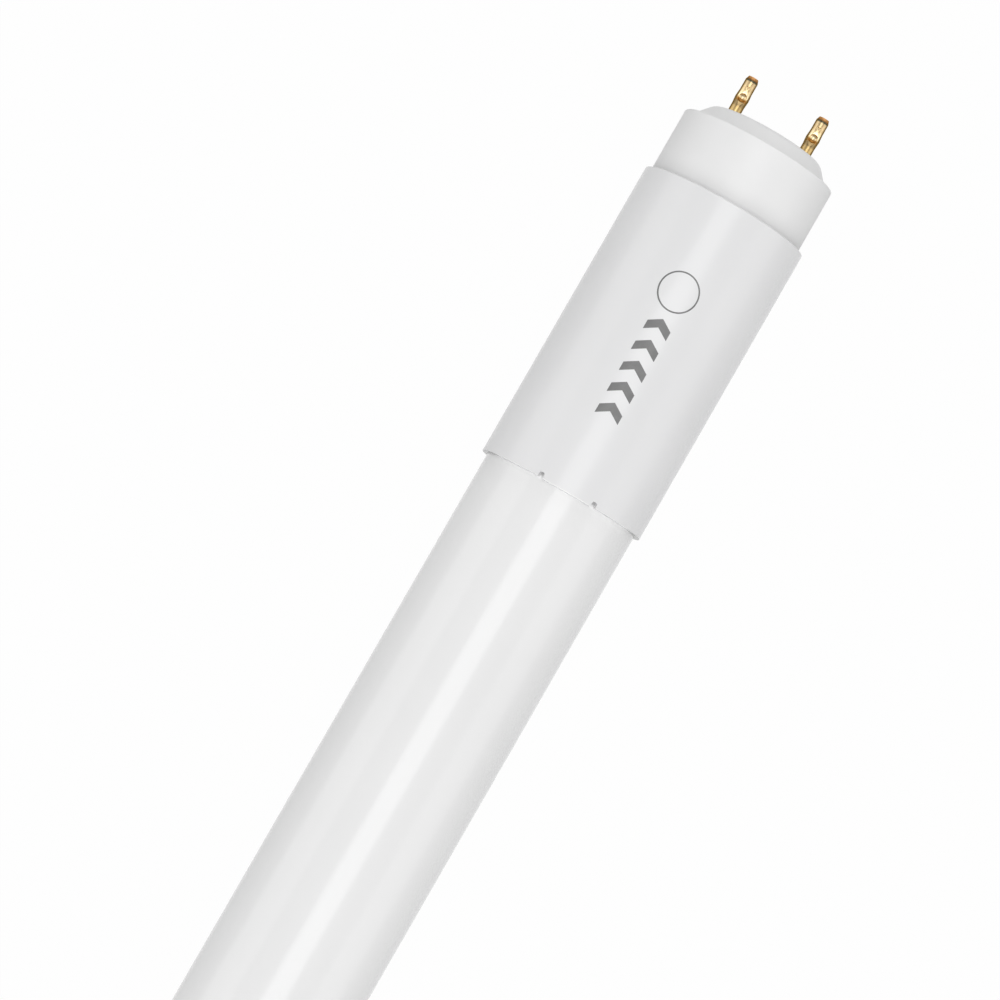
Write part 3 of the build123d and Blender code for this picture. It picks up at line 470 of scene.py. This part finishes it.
class Finish:
    """A material with the shared grain. Its colour, gloss and relief can be built on before they are wired."""

    def __init__(self, name, rgb, shade=0.97, clouds=60.0, grain=2500.0, gloss=(0.3, 0.4), bump=0.0, metallic=0.0):
        """Places the shader and the grain: shade is how far the clouds darken, clouds and grain are their scales,
        gloss is the lowest and highest roughness, and bump is the relief's height."""
        self.material = bpy.data.materials.new(name)
        self.material.use_nodes = True
        self.tree = self.material.node_tree
        self.tree.nodes.clear()
        self.shader = add_node(self.tree, "ShaderNodeBsdfPrincipled")
        add_node(self.tree, "ShaderNodeOutputMaterial", inputs={"Surface": self.shader.outputs[0]})
        self.place = add_node(self.tree, "ShaderNodeTexCoord").outputs["Object"]
        skin = add_group(self.tree, "surface_grain", {
            "Vector": self.place, "Colour": opaque(rgb), "Shade": opaque(rgb, shade),
            "Cloud Size": clouds, "Grain Size": grain, "Gloss Low": gloss[0], "Gloss High": gloss[1]})
        self.colour, self.gloss, self.height = skin["Colour"], skin["Roughness"], skin["Height"]
        self.metallic, self.bump = metallic, bump

    def coordinate(self, axis):
        """Object coordinate along an axis, 0 to 2."""
        return add_node(self.tree, "ShaderNodeSeparateXYZ", inputs={0: self.place}).outputs[axis]

    def away(self, axis, middle=None):
        """Distance along an axis from the frame's middle, or from another place on it."""
        value = self.coordinate(axis)
        if middle is not None:
            value = maths(self.tree, "SUBTRACT", value, middle)
        return maths(self.tree, "ABSOLUTE", value)

    def moved(self, middle, turn=(0.0, 0.0, 0.0)):
        """Object coordinates from this point, turned."""
        return add_node(self.tree, "ShaderNodeMapping", {"vector_type": "TEXTURE"}, {
            "Vector": self.place, "Location": middle, "Rotation": turn}).outputs[0]

    def paint(self, share, rgb):
        """Covers the colour with another by a share."""
        self.colour = blended(self.tree, share, self.colour, opaque(rgb))

    def wire(self):
        """Joins colour, gloss, metal and relief to the shader and gives the material."""
        links, inputs = self.tree.links, self.shader.inputs
        links.new(self.colour, inputs["Base Color"])
        links.new(self.gloss, inputs["Roughness"])
        if isinstance(self.metallic, float):
            inputs["Metallic"].default_value = self.metallic
        else:
            links.new(self.metallic, inputs["Metallic"])
        relief = add_node(self.tree, "ShaderNodeBump", inputs={
            "Strength": 0.35, "Distance": self.bump, "Height": self.height})
        links.new(relief.outputs[0], inputs["Normal"])
        return self.material


def dress(material, *node_names):
    """Gives the material to these solids."""
    for name in node_names:
        slots = nodes[name].data.materials
        slots.clear()
        slots.append(material)


def dress_plain(slot, *look):
    """Gives a slot's solids the slot's own colour with one plain look."""
    dress(Finish(slot, SLOT_COLOURS[slot], *look).wire(), *SLOT_NODES[slot])


def dress_board(slot, shade, clouds, gloss, bump, strips, cover, track):
    """Lacquer over raised copper tracks, which show through by a share."""
    board = Finish(slot, SLOT_COLOURS[slot], shade, clouds, 2600.0, gloss, bump)
    copper = add_group(board.tree, "board_tracks", {"Vector": board.place, "Strips": strips})["Copper"]
    board.paint(maths(board.tree, "MULTIPLY", copper, cover), track)
    board.height = maths(board.tree, "ADD", maths(board.tree, "MULTIPLY", board.height, 0.2), copper)
    dress(board.wire(), *SLOT_NODES[slot])


def middle_and_half(name, inset=(0.0, 0.0, 0.0)):
    """Middle of a solid's box, and half its size less an inset at each side."""
    low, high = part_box(name)
    inset = Vector(inset)
    return (low + high) / 2, (high - low) / 2 - inset


# Pieces

class LAMP_OT_glass_tube(bpy.types.Operator):
    """Builds the opal glass tube with eased ends"""

    bl_idname = "lamp.glass_tube"
    bl_label = "Glass tube"

    def execute(self, context):
        """The wall's outline, a long thin rectangle with rounded corners, turned about the tube's axis."""
        sizes = context.scene.lamp_sizes
        bore = GLASS_RADIUS - sizes.glass_wall
        outline = rounded_outline(
            [(-GLASS_END_X, GLASS_RADIUS), (GLASS_END_X, GLASS_RADIUS), (GLASS_END_X, bore), (-GLASS_END_X, bore)],
            np.full(4, GLASS_EASE))
        opal = Finish("opal_glass", context.scene.lamp_finish.opal, shade=0.985, clouds=30.0, grain=900.0,
                      gloss=(0.14, 0.18), bump=2e-6)
        opal.shader.inputs["Specular IOR Level"].default_value = 0.44
        rim_x = SLEEVE_TAB_X + sizes.tab_drop
        from_middle = opal.away(0)
        # Painted light and shade: a lighter band on the glass just before the sleeve's rim hides the rim's shadow
        # line, and painted shade on the glass under the rim shows in the slits.
        for near, far, value in RIM_PAINTED_LIGHT_AND_SHADE:
            opal.paint(ranged(opal.tree, from_middle, rim_x + near, rim_x + far), grey(value))
        rings = turned(outline, even_angles(sizes.round_sides))
        new_piece("opal_tube", [joined_rings(rings)], opal.wire(), ["glass_tube"])
        return {"FINISHED"}


class LAMP_OT_sleeves(bpy.types.Operator):
    """Builds the collar at each end, with two slits and a tab in its rim"""

    bl_idname = "lamp.sleeves"
    bl_label = "Sleeves"

    def execute(self, context):
        """The wall's outline turned about the axis. Near the rim every ring moves along the axis by the setback at
        its angle: minus the tab's drop between the slits, nothing elsewhere, and in a slit its depth times one
        minus the eighth power of the way from its middle to its side."""
        sizes = context.scene.lamp_sizes
        radius = SLEEVE_RADIUS - sizes.sleeve_ink_room
        bore = GLASS_RADIUS + sizes.sleeve_fit
        rim_x = SLEEVE_TAB_X + sizes.tab_drop
        outline = rounded_outline(
            [(rim_x, radius), (SLEEVE_MOUTH_X, radius), (SLEEVE_MOUTH_X, bore), (rim_x, bore)],
            [sizes.rim_round, sizes.mouth_round, GLASS_EASE, BORE_EASE])

        half_slit = sizes.slit_width / 2 / radius
        slits = sizes.tab_turn + sizes.tab_half_angle * np.array([-1.0, 1.0])
        across = np.sin(np.linspace(-1, 1, 41) * math.pi / 2)
        plain = (even_angles(sizes.round_sides) + math.pi) % (2 * math.pi) - math.pi
        clear = np.all(np.abs(plain[:, None] - slits) > 1.05 * half_slit, axis=1)
        angles = np.sort(np.concatenate([plain[clear], (slits[:, None] + half_slit * across).ravel()]))

        side = (angles[:, None] - slits) / half_slit
        on_tab = np.abs(angles - sizes.tab_turn) < sizes.tab_half_angle
        reach = np.min(np.abs(side), axis=1)
        cut = 1 - np.minimum(reach, 1) ** 8
        setback = sizes.slit_depth * cut - sizes.tab_drop * np.where(on_tab, 1 - cut, 0)

        near_rim = np.clip(1 - (outline[:, :1] - rim_x) / (3 * sizes.slit_depth), 0, 1)
        rings = turned(outline, angles)
        rings[:, :, 0] += near_rim * setback
        sleeve = Finish("sleeve_plastic", context.scene.lamp_finish.sleeve, shade=0.985, clouds=60.0, grain=2500.0,
                        gloss=(0.20, 0.24), bump=1e-6)
        sleeve.shader.inputs["Specular IOR Level"].default_value = 0.36
        # Painted light on the rim's edge, and painted shade on the rim's edge at the two sides.
        at_rim = ranged(sleeve.tree, sleeve.away(0), rim_x + 0.05 * MM, rim_x + 0.03 * MM)
        at_side = ranged(sleeve.tree, sleeve.away(1), *RIM_SIDE_Y)
        sleeve.paint(at_rim, grey(RIM_EDGE_PAINTED_LIGHT))
        sleeve.paint(maths(sleeve.tree, "MULTIPLY", at_rim, at_side), grey(RIM_SIDE_SHADE))
        material = sleeve.wire()
        for end, way in ENDS.items():
            new_piece(f"{end}_collar", [joined_rings(rings)], material, [f"{end}_sleeve"], way)
        return {"FINISHED"}


class LAMP_OT_caps(bpy.types.Operator):
    """Builds the moulded caps with their cones and pin bosses"""

    bl_idname = "lamp.caps"
    bl_label = "Caps"

    def execute(self, context):
        """The outline of a cup, from the middle of its floor round its wall to the middle of its face, turned
        about the axis, and a tube for each boss."""
        sizes = context.scene.lamp_sizes
        foot = GLASS_RADIUS - sizes.cap_foot_inset
        top = GLASS_RADIUS - sizes.cap_face_inset
        shoulder_x = CAP_FACE_X - sizes.cap_shoulder
        face_x = shoulder_x + sizes.cap_cone_height
        wall = sizes.cap_wall
        slope = math.atan2(sizes.cap_cone_height, foot - top)
        shift = wall * math.tan(slope / 2)
        floor_x = face_x - wall
        steps = 7
        outline = rounded_outline(
            [(floor_x, 0), (floor_x, top - shift), (shoulder_x - wall, foot - shift),
             (shoulder_x - wall, GLASS_RADIUS - wall), (CAP_INNER_X, GLASS_RADIUS - wall),
             (CAP_INNER_X, GLASS_RADIUS), (shoulder_x, GLASS_RADIUS), (shoulder_x, foot),
             (face_x, top), (face_x, 0)],
            [0, INNER_EASE, INNER_EASE, INNER_EASE, FINE_EASE, FINE_EASE, sizes.shoulder_round, 0.25 * MM,
             sizes.face_round, 0], steps)[steps + 2:-steps - 2]
        angles = even_angles(sizes.round_sides)
        shell = joined_rings(turned(outline, angles), [(floor_x, 0, 0), (face_x, 0, 0)])

        boss_outline = rounded_outline(
            [(floor_x - sizes.boss_length + wall, sizes.boss_radius), (floor_x + wall / 2, sizes.boss_radius),
             (floor_x + wall / 2, sizes.pin_radius), (floor_x - sizes.boss_length + wall, sizes.pin_radius)],
            np.full(4, FINE_EASE), 4)
        boss = turned(boss_outline, even_angles(48))
        bosses = [joined_rings(boss + (0, y, 0)) for y in (-PIN_Y, PIN_Y)]

        cap = Finish("cap_plastic", context.scene.lamp_finish.cap, shade=0.98, clouds=80.0, grain=3500.0,
                     gloss=(0.42, 0.5), bump=5e-6)
        # Painted shade on the neck: darkest by the sleeve's mouth, fading out over the shade's reach.
        from_middle = cap.away(0)
        near_sleeve = add_node(cap.tree, "ShaderNodeMapRange", inputs={
            "Value": from_middle, "From Min": SLEEVE_MOUTH_X, "From Max": SLEEVE_MOUTH_X + NECK_SHADE_REACH,
            "To Min": 1.0, "To Max": 0.0}).outputs[0]
        share = maths(cap.tree, "MULTIPLY", near_sleeve, near_sleeve)
        open_side = ranged(cap.tree, from_middle, SLEEVE_MOUTH_X - 0.2 * MM, SLEEVE_MOUTH_X + 0.5 * MM)
        cap.paint(maths(cap.tree, "MULTIPLY", share, open_side),
                  [NECK_SHADE * c for c in context.scene.lamp_finish.cap])
        material = cap.wire()
        for end, way in ENDS.items():
            new_piece(f"{end}_moulding", [shell, *bosses], material, [f"{end}_cap"], way)
        return {"FINISHED"}


class LAMP_OT_pins(bpy.types.Operator):
    """Builds the hollow contact pins with their crimps"""

    bl_idname = "lamp.pins"
    bl_label = "Pins"

    def execute(self, context):
        """The outline of the wall turned about the pin's axis. Above and below, the height is cut down to the
        lowest of three surfaces: the flats that slope to the crimp, the ball of the dent, and a cone that lies
        on the pin as a groove."""
        sizes = context.scene.lamp_sizes
        radius = sizes.pin_radius
        crimp_x = PIN_TIP_X - sizes.crimp_from_tip
        start_x, end_x = crimp_x - sizes.crimp_half, crimp_x + sizes.crimp_half
        taper_x = PIN_TIP_X - sizes.pin_taper
        flange_x = PIN_INNER_X + FLANGE_THICKNESS
        groove_end = crimp_x + sizes.groove_length
        outer_x = np.concatenate([
            np.linspace(flange_x, start_x, 9)[1:-1], np.linspace(start_x, groove_end, 76),
            np.linspace(groove_end, taper_x, 6)[1:], np.linspace(taper_x, PIN_TIP_X, 5)[1:]])
        outer_radius = np.interp(outer_x, [start_x, crimp_x, end_x, taper_x, PIN_TIP_X],
                                 [radius, radius + sizes.crimp_swell, radius, radius, sizes.pin_tip_radius])
        outline = np.vstack([
            [(PIN_INNER_X, sizes.pin_bore), (PIN_INNER_X, sizes.pin_flange), (flange_x, sizes.pin_flange),
             (flange_x, radius)],
            np.column_stack([outer_x, outer_radius]),
            [(PIN_TIP_X, sizes.pin_tip_hole), (end_x, sizes.pin_tip_hole), (end_x, CONDUCTOR_RADIUS),
             (start_x, CONDUCTOR_RADIUS), (start_x, sizes.pin_bore)]])
        rings = turned(outline, even_angles(96))
        x, y, z = rings[..., 0], rings[..., 1], rings[..., 2]
        outer = np.hypot(y, z) > 1.001 * sizes.pin_bore

        uncut = radius * 2
        flat = radius - sizes.crimp_squeeze
        flat_z = np.interp(x, [start_x, crimp_x, end_x], [radius, flat, radius]) + sizes.crimp_swell * (
            (x < start_x) | (x > end_x))
        room = sizes.dent_radius ** 2 - (x - crimp_x) ** 2 - y ** 2
        dent_z = np.where(
            room > 0, flat + sizes.dent_radius - sizes.dent_depth - np.sqrt(np.maximum(room, 0)), uncut)
        share = (x - crimp_x) / sizes.groove_length
        groove_radius = GROOVE_NARROW + GROOVE_GROWTH * share
        groove_room = groove_radius ** 2 - y ** 2
        in_groove = (share > 0) & (share < 1) & (groove_room > 0)
        groove_z = np.where(in_groove, radius + GROOVE_LIFT - np.sqrt(np.maximum(groove_room, 0)), uncut)
        top = np.minimum(np.minimum(flat_z, dent_z), groove_z)
        rings[..., 2] = np.where(outer, np.sign(z) * np.minimum(np.abs(z), top), z)

        finish = context.scene.lamp_finish
        brass = Finish("contact_brass", finish.brass, shade=0.80, clouds=900.0, grain=5200.0,
                       gloss=(0.24, 0.38), bump=6e-6, metallic=1.0)
        brass.shader.inputs["Specular Tint"].default_value = (0.55, 0.42, 0.25, 1.0)
        from_axis = maths(brass.tree, "ABSOLUTE", maths(brass.tree, "SUBTRACT", brass.away(1), PIN_Y))
        past_face = maths(brass.tree, "SUBTRACT", brass.away(0), CAP_FACE_X)
        along = maths(brass.tree, "DIVIDE", past_face, PIN_TIP_X - CAP_FACE_X)
        # Painted light and shade: the ramp darkens the brass in bands along the pin, leaving a painted highlight on
        # the dent and painted reflections at the tip.
        painted_light_ramp = add_node(brass.tree, "ShaderNodeValToRGB", inputs={0: along})
        stops = painted_light_ramp.color_ramp.elements
        for place, rgb in PIN_PAINTED_LIGHT[1:-1]:
            stops.new(place)
        for stop, (place, rgb) in zip(stops, PIN_PAINTED_LIGHT):
            stop.position, stop.color = place, opaque(rgb)
        brass.colour = add_node(brass.tree, "ShaderNodeMix", {"data_type": "RGBA", "blend_type": "MULTIPLY"}, {
            0: 1.0, 6: brass.colour, 7: painted_light_ramp.outputs[0]}).outputs[2]
        # Painted shade along the two sides of the pin.
        brass.paint(ranged(brass.tree, from_axis, 0.76 * radius, 0.86 * radius), finish.pin_side_shade)
        material = brass.wire()
        for end, way in ENDS.items():
            for side, across in (("left", PIN_Y), ("right", -PIN_Y)):
                new_piece(f"{end}_contact_{side}", [joined_rings(rings + (0, across, 0))], material,
                          [f"{end}_pin_{side}"], way)
        return {"FINISHED"}


class LAMP_OT_mark(bpy.types.Operator):
    """Lays a plain printed mark on the driver end's sleeve: a ring, and arrows that point to the pins"""

    bl_idname = "lamp.mark"
    bl_label = "Printed mark"

    def execute(self, context):
        """Flat shapes of a place along the tube and a place across it, wrapped round the sleeve: the angle is the
        place across over the radius. A grid strip gives each, closed by a second layer just under it."""
        sizes = context.scene.lamp_sizes
        shapes = []
        half, stroke = sizes.mark_width / 2, sizes.mark_stroke
        across = np.linspace(-1, 1, 25)[:, None] * np.ones((1, 3))
        along = np.linspace(0, 1, 3)[None, :] * np.ones((25, 1))
        for tail_x in ARROW_TAILS_X:
            shapes.append((
                tail_x + half * ARROW_SLOPE * (1 - np.abs(across)) + stroke * along, half * across, False))
        turn = even_angles(64)[:, None]
        out = (sizes.ring_radius + sizes.ring_stroke * np.linspace(-0.5, 0.5, 3))[None, :]
        shapes.append((RING_X + out * np.cos(turn), out * np.sin(turn), True))

        surfaces = []
        for x, y, loop in shapes:
            layers = []
            for radius in INK_RADII:
                layers.append(np.stack([x, radius * np.sin(y / radius), radius * np.cos(y / radius)], axis=-1))
            surfaces.append(closed_strip(*layers, loop))
        ink = Finish("mark_ink", context.scene.lamp_finish.mark, shade=1.18, clouds=700.0, grain=4500.0,
                     gloss=(0.34, 0.44), bump=2e-6)
        new_piece("driver_end_mark", surfaces, ink.wire())
        return {"FINISHED"}


class LAMP_OT_led_row(bpy.types.Operator):
    """Finishes the LED board, its LEDs, the solder and the silicone"""

    bl_idname = "lamp.led_row"
    bl_label = "LED row"

    def execute(self, context):
        """White lacquer with a hint of its tracks, pale cups with yellow gel, bright solder and cloudy silicone."""
        tin = context.scene.lamp_finish.tin
        dress_plain("silicone", 0.94, 150.0, 1400.0, (0.38, 0.55), 3e-5)
        dress_board("led_board_white", 0.98, 90.0, (0.28, 0.38), 2e-5, 90.0, 0.5, (0.86, 0.86, 0.83))
        dress_plain("led_package", 0.96, 300.0, 4000.0, (0.22, 0.32), 5e-6)
        dress_plain("phosphor", 0.82, 1400.0, 9000.0, (0.12, 0.22), 1e-5)
        solder = Finish("solder", tin, shade=0.84, clouds=1200.0, grain=3000.0, gloss=(0.16, 0.34),
                        bump=1.5e-5, metallic=1.0)
        dress(solder.wire(), *SLOT_NODES["solder"])
        return {"FINISHED"}


class LAMP_OT_driver(bpy.types.Operator):
    """Finishes the driver board and the parts on it"""

    bl_idname = "lamp.driver"
    bl_label = "Driver"

    def execute(self, context):
        """Green lacquer over its tracks, the parts of one plain material, and then those with marks or legs."""
        finish = context.scene.lamp_finish
        dress_board("driver_board_green", 0.85, 120.0, (0.22, 0.32), 3e-5, 150.0, 0.6, finish.track)
        dress_plain("varistor_blue", 0.86, 300.0, 1100.0, (0.16, 0.26), 3e-5)
        dress_plain("film_box", 0.93, 150.0, 2600.0, (0.2, 0.3), 8e-6)
        dress_plain("ferrite", 0.72, 900.0, 5200.0, (0.5, 0.72), 2e-5)
        dress_plain("bobbin_black", 0.8, 300.0, 3200.0, (0.38, 0.52), 1e-5)

        self.windings()
        self.cans()
        self.fuse()
        self.packages(finish.tin)
        return {"FINISHED"}

    def windings(self):
        """Copper wound in turns, along z on the choke and along y on the transformer."""
        turns = 2 * math.pi / (20 * TURN_PITCH)
        for name, turn in (("choke_winding", (0, math.pi / 2, 0)), ("inductor_winding", (0, 0, math.pi / 2))):
            wire = Finish(name, SLOT_COLOURS["copper_wire"], shade=0.8, clouds=700.0, grain=3000.0,
                          gloss=(0.2, 0.34), bump=1.2e-4, metallic=1.0)
            wound = add_group(wire.tree, "wire_turns", {"Vector": wire.moved((0, 0, 0), turn), "Turns": turns})
            wire.paint(maths(wire.tree, "MULTIPLY", wound["Gap"], 0.85), (0.10, 0.035, 0.015))
            wire.height = wound["Height"]
            dress(wire.wire(), name)

    def cans(self):
        """Dark film with a pale stripe down one side, on the lying and the standing capacitor."""
        for name, stripe_axis, side_axis, side in (("bulk_capacitor", 1, 2, 1), ("output_capacitor", 0, 1, -1)):
            middle, half = middle_and_half(name)
            film = Finish(name, SLOT_COLOURS["can_sleeve"], shade=0.8, clouds=400.0, grain=2600.0,
                          gloss=(0.14, 0.22), bump=5e-6)
            across = film.away(stripe_axis, middle[stripe_axis])
            facing = maths(film.tree, "MULTIPLY", float(side), maths(
                film.tree, "SUBTRACT", film.coordinate(side_axis), middle[side_axis]))
            stripe = maths(film.tree, "MULTIPLY", ranged(film.tree, across, STRIPE_HALF + 0.05 * MM, STRIPE_HALF),
                           maths(film.tree, "GREATER_THAN", facing, 0.3 * half[side_axis]))
            film.paint(stripe, (0.52, 0.55, 0.6))
            dress(film.wire(), name)

    def fuse(self):
        """Grey-green coat with four plain colour bands round it."""
        middle = middle_and_half("fuse_resistor")[0]
        coat = Finish("fuse_coat", SLOT_COLOURS["fuse_coat"], shade=0.88, clouds=500.0, grain=2400.0,
                      gloss=(0.35, 0.5), bump=1.5e-5)
        along = maths(coat.tree, "SUBTRACT", coat.coordinate(0), middle[0])
        for place, rgb in FUSE_BANDS:
            away = maths(coat.tree, "ABSOLUTE", maths(coat.tree, "SUBTRACT", along, place * MM))
            coat.paint(ranged(coat.tree, away, BAND_HALF + 0.04 * MM, BAND_HALF), rgb)
        dress(coat.wire(), "fuse_resistor")

    def packages(self, tin):
        """Black mouldings: outside the block of the body, the metal of the legs and end caps shows."""
        bodies = (("bridge_rectifier", (0, 1.05, 0)), ("driver_chip", (0, 1.05, 0)), ("output_diode", (1.0, 0, 0)))
        for name, inset in bodies:
            middle, half = middle_and_half(name, [MM * side for side in inset])
            case = Finish(name, SLOT_COLOURS["package_black"], shade=0.8, clouds=500.0, grain=4200.0,
                          gloss=(0.4, 0.55), bump=1e-5)
            room = Vector([half[axis] + (0.01 * MM if inset[axis] else MM) for axis in range(3)])
            case_block(case, middle, room, tin)
            dress(case.wire(), name)
        middle, half = middle_and_half("chip_resistors", (0.3 * MM, 0, 0))
        glaze = Finish("resistor_black", SLOT_COLOURS["resistor_black"], shade=0.8, clouds=900.0, grain=4200.0,
                       gloss=(0.2, 0.3), bump=6e-6)
        case_block(glaze, middle, Vector((half[0], half[1] + MM, half[2] + MM)), tin)
        dress(glaze.wire(), "chip_resistors")


def case_block(finish, middle, half, tin):
    """Makes a finish bare metal outside a block."""
    inside = add_group(finish.tree, "inside_block", {
        "Vector": finish.place, "Middle": tuple(middle), "Half Size": tuple(half)})["Inside"]
    outside = maths(finish.tree, "SUBTRACT", 1.0, inside)
    finish.paint(outside, tin)
    finish.metallic = outside


class LAMP_OT_wires(bpy.types.Operator):
    """Finishes the insulated wires and their bare ends"""

    bl_idname = "lamp.wires"
    bl_label = "Wires"

    def execute(self, context):
        """Coloured insulation, and bare tinned wire past the planes where it is stripped."""
        slots = {node: slot for slot, names in SLOT_NODES.items() for node in names}
        for kind, (low, high) in INSULATED.items():
            low, high = Vector(low) * MM, Vector(high) * MM
            for name in (f"{kind}_left", f"{kind}_right"):
                jacket = Finish(name, SLOT_COLOURS[slots[name]], shade=0.9, clouds=200.0, grain=2600.0,
                                gloss=(0.34, 0.46), bump=8e-6)
                case_block(jacket, (low + high) / 2, (high - low) / 2, context.scene.lamp_finish.tin)
                dress(jacket.wire(), name)
        return {"FINISHED"}


# Stage

def area_lamp(name, location, target, size, power):
    """Rectangular lamp at location that faces target, its long side along the tube."""
    data = bpy.data.lights.new(name, "AREA")
    data.shape = "RECTANGLE"
    data.size, data.size_y = size
    data.energy = power
    lamp = bpy.data.objects.new(name, data)
    bpy.context.scene.collection.objects.link(lamp)
    back = (Vector(location) - Vector(target)).normalized()
    across = back.cross(Vector((1.0, 0.0, 0.0))).normalized()
    along = across.cross(back)
    turn = Matrix((along, across, back)).transposed().to_4x4()
    turn.translation = Vector(location)
    lamp.matrix_world = turn


def seen_directly(tree):
    """1 for rays from the camera, for reflections and for rays through glass."""
    path = add_node(tree, "ShaderNodeLightPath").outputs
    seen = maths(tree, "MAXIMUM", path["Is Camera Ray"], path["Is Glossy Ray"])
    return maths(tree, "MAXIMUM", seen, path["Is Transmission Ray"])


class LAMP_OT_stage(bpy.types.Operator):
    """Sets up the floor, the room light, the lamps and the camera"""

    bl_idname = "lamp.stage"
    bl_label = "Stage"

    def execute(self, context):
        """White paper, even light with five soft lamps, and the camera, shown with plain colours."""
        context.scene.view_settings.view_transform = "Standard"
        self.floor(context.scene)
        self.room(context.scene)
        self.camera(context.scene)
        return {"FINISHED"}

    def floor(self, scene):
        """White paper under the tube that keeps a little of its shadow."""
        half, z = FLOOR_HALF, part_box("driver_end_sleeve")[0].z
        mesh = bpy.data.meshes.new("floor")
        mesh.from_pydata(
            [(-half, -half, z), (half, -half, z), (half, half, z), (-half, half, z)], [], [(0, 1, 2, 3)])
        floor = bpy.data.objects.new("floor", mesh)
        scene.collection.objects.link(floor)
        material = bpy.data.materials.new("floor_paper")
        material.use_nodes = True
        tree = material.node_tree
        tree.nodes.clear()
        paper = add_node(tree, "ShaderNodeBsdfDiffuse", inputs={"Color": PAPER})
        glow = add_node(tree, "ShaderNodeEmission", inputs={"Color": WHITE, "Strength": 1.0})
        mix = add_node(tree, "ShaderNodeMixShader", inputs={
            0: maths(tree, "MULTIPLY", seen_directly(tree), PAPER_GLOW), 1: paper.outputs[0], 2: glow.outputs[0]})
        add_node(tree, "ShaderNodeOutputMaterial", inputs={"Surface": mix.outputs[0]})
        mesh.materials.append(material)

    def room(self, scene):
        """Even light from all round, which looks white, and the soft lamps."""
        settings = scene.lamp_stage
        scene.world = bpy.data.worlds.new("room")
        scene.world.use_nodes = True
        tree = scene.world.node_tree
        tree.nodes.clear()
        soft = add_node(tree, "ShaderNodeBackground", inputs={"Color": WHITE, "Strength": settings.sky})
        plain = add_node(tree, "ShaderNodeBackground", inputs={"Color": WHITE, "Strength": 1.0})
        mix = add_node(tree, "ShaderNodeMixShader",
                       inputs={0: seen_directly(tree), 1: soft.outputs[0], 2: plain.outputs[0]})
        add_node(tree, "ShaderNodeOutputWorld", inputs={"Surface": mix.outputs[0]})
        for name, place, target, size, power in LAMPS:
            area_lamp(name, place, target, size, getattr(settings, power))

    def camera(self, scene):
        """Camera above the driver end: it leans along the tube by the tilt, and is rolled by the turn."""
        settings = scene.lamp_stage
        data = bpy.data.cameras.new("camera")
        data.lens = settings.lens
        data.sensor_width = 36.0
        data.clip_start, data.clip_end = 0.01, 20.0
        camera = bpy.data.objects.new("camera", data)
        scene.collection.objects.link(camera)
        forward = Vector((math.sin(settings.tilt), 0.0, -math.cos(settings.tilt)))
        along = Vector((math.cos(settings.tilt), 0.0, math.sin(settings.tilt)))
        across = Vector((0.0, -1.0, 0.0))
        right = math.sin(settings.turn) * along + math.cos(settings.turn) * across
        upwards = math.cos(settings.turn) * along - math.sin(settings.turn) * across
        place = Matrix((right, upwards, -forward)).transposed().to_4x4()
        place.translation = Vector(settings.aim) - settings.distance * forward
        camera.matrix_world = place
        scene.camera = camera


class LAMP_PT_panel(bpy.types.Panel):
    """Sizes, colours and build steps of the lamp"""

    bl_idname = "LAMP_PT_panel"
    bl_label = "LED Tube"
    bl_space_type = "VIEW_3D"
    bl_region_type = "UI"
    bl_category = "LED Tube"

    def draw(self, context):
        """A button for each build step, then a box for each group of settings."""
        for operator in STEPS:
            self.layout.operator(operator.bl_idname)
        for name, group in GROUPS.items():
            box = self.layout.box()
            box.label(text=group.__doc__)
            for setting in group.__annotations__:
                box.prop(getattr(context.scene, name), setting)


STEPS = (LAMP_OT_glass_tube, LAMP_OT_sleeves, LAMP_OT_caps, LAMP_OT_pins, LAMP_OT_mark, LAMP_OT_led_row,
         LAMP_OT_driver, LAMP_OT_wires, LAMP_OT_stage)
GROUPS = {"lamp_sizes": LampSizeSettings, "lamp_finish": LampFinishSettings, "lamp_stage": LampStageSettings}


def register():
    """Registers the classes and hangs the settings on the scene."""
    for group in (*GROUPS.values(), *STEPS, LAMP_PT_panel):
        bpy.utils.register_class(group)
    for name, group in GROUPS.items():
        setattr(bpy.types.Scene, name, PointerProperty(type=group))


def unregister():
    """Takes the settings and the classes away again."""
    for name in GROUPS:
        delattr(bpy.types.Scene, name)
    for group in reversed((*GROUPS.values(), *STEPS, LAMP_PT_panel)):
        bpy.utils.unregister_class(group)


def main():
    """Runs every build step in order."""
    register()
    for operator in STEPS:
        family, name = operator.bl_idname.split(".")
        getattr(getattr(bpy.ops, family), name)()


if __name__ == "__main__":
    main()
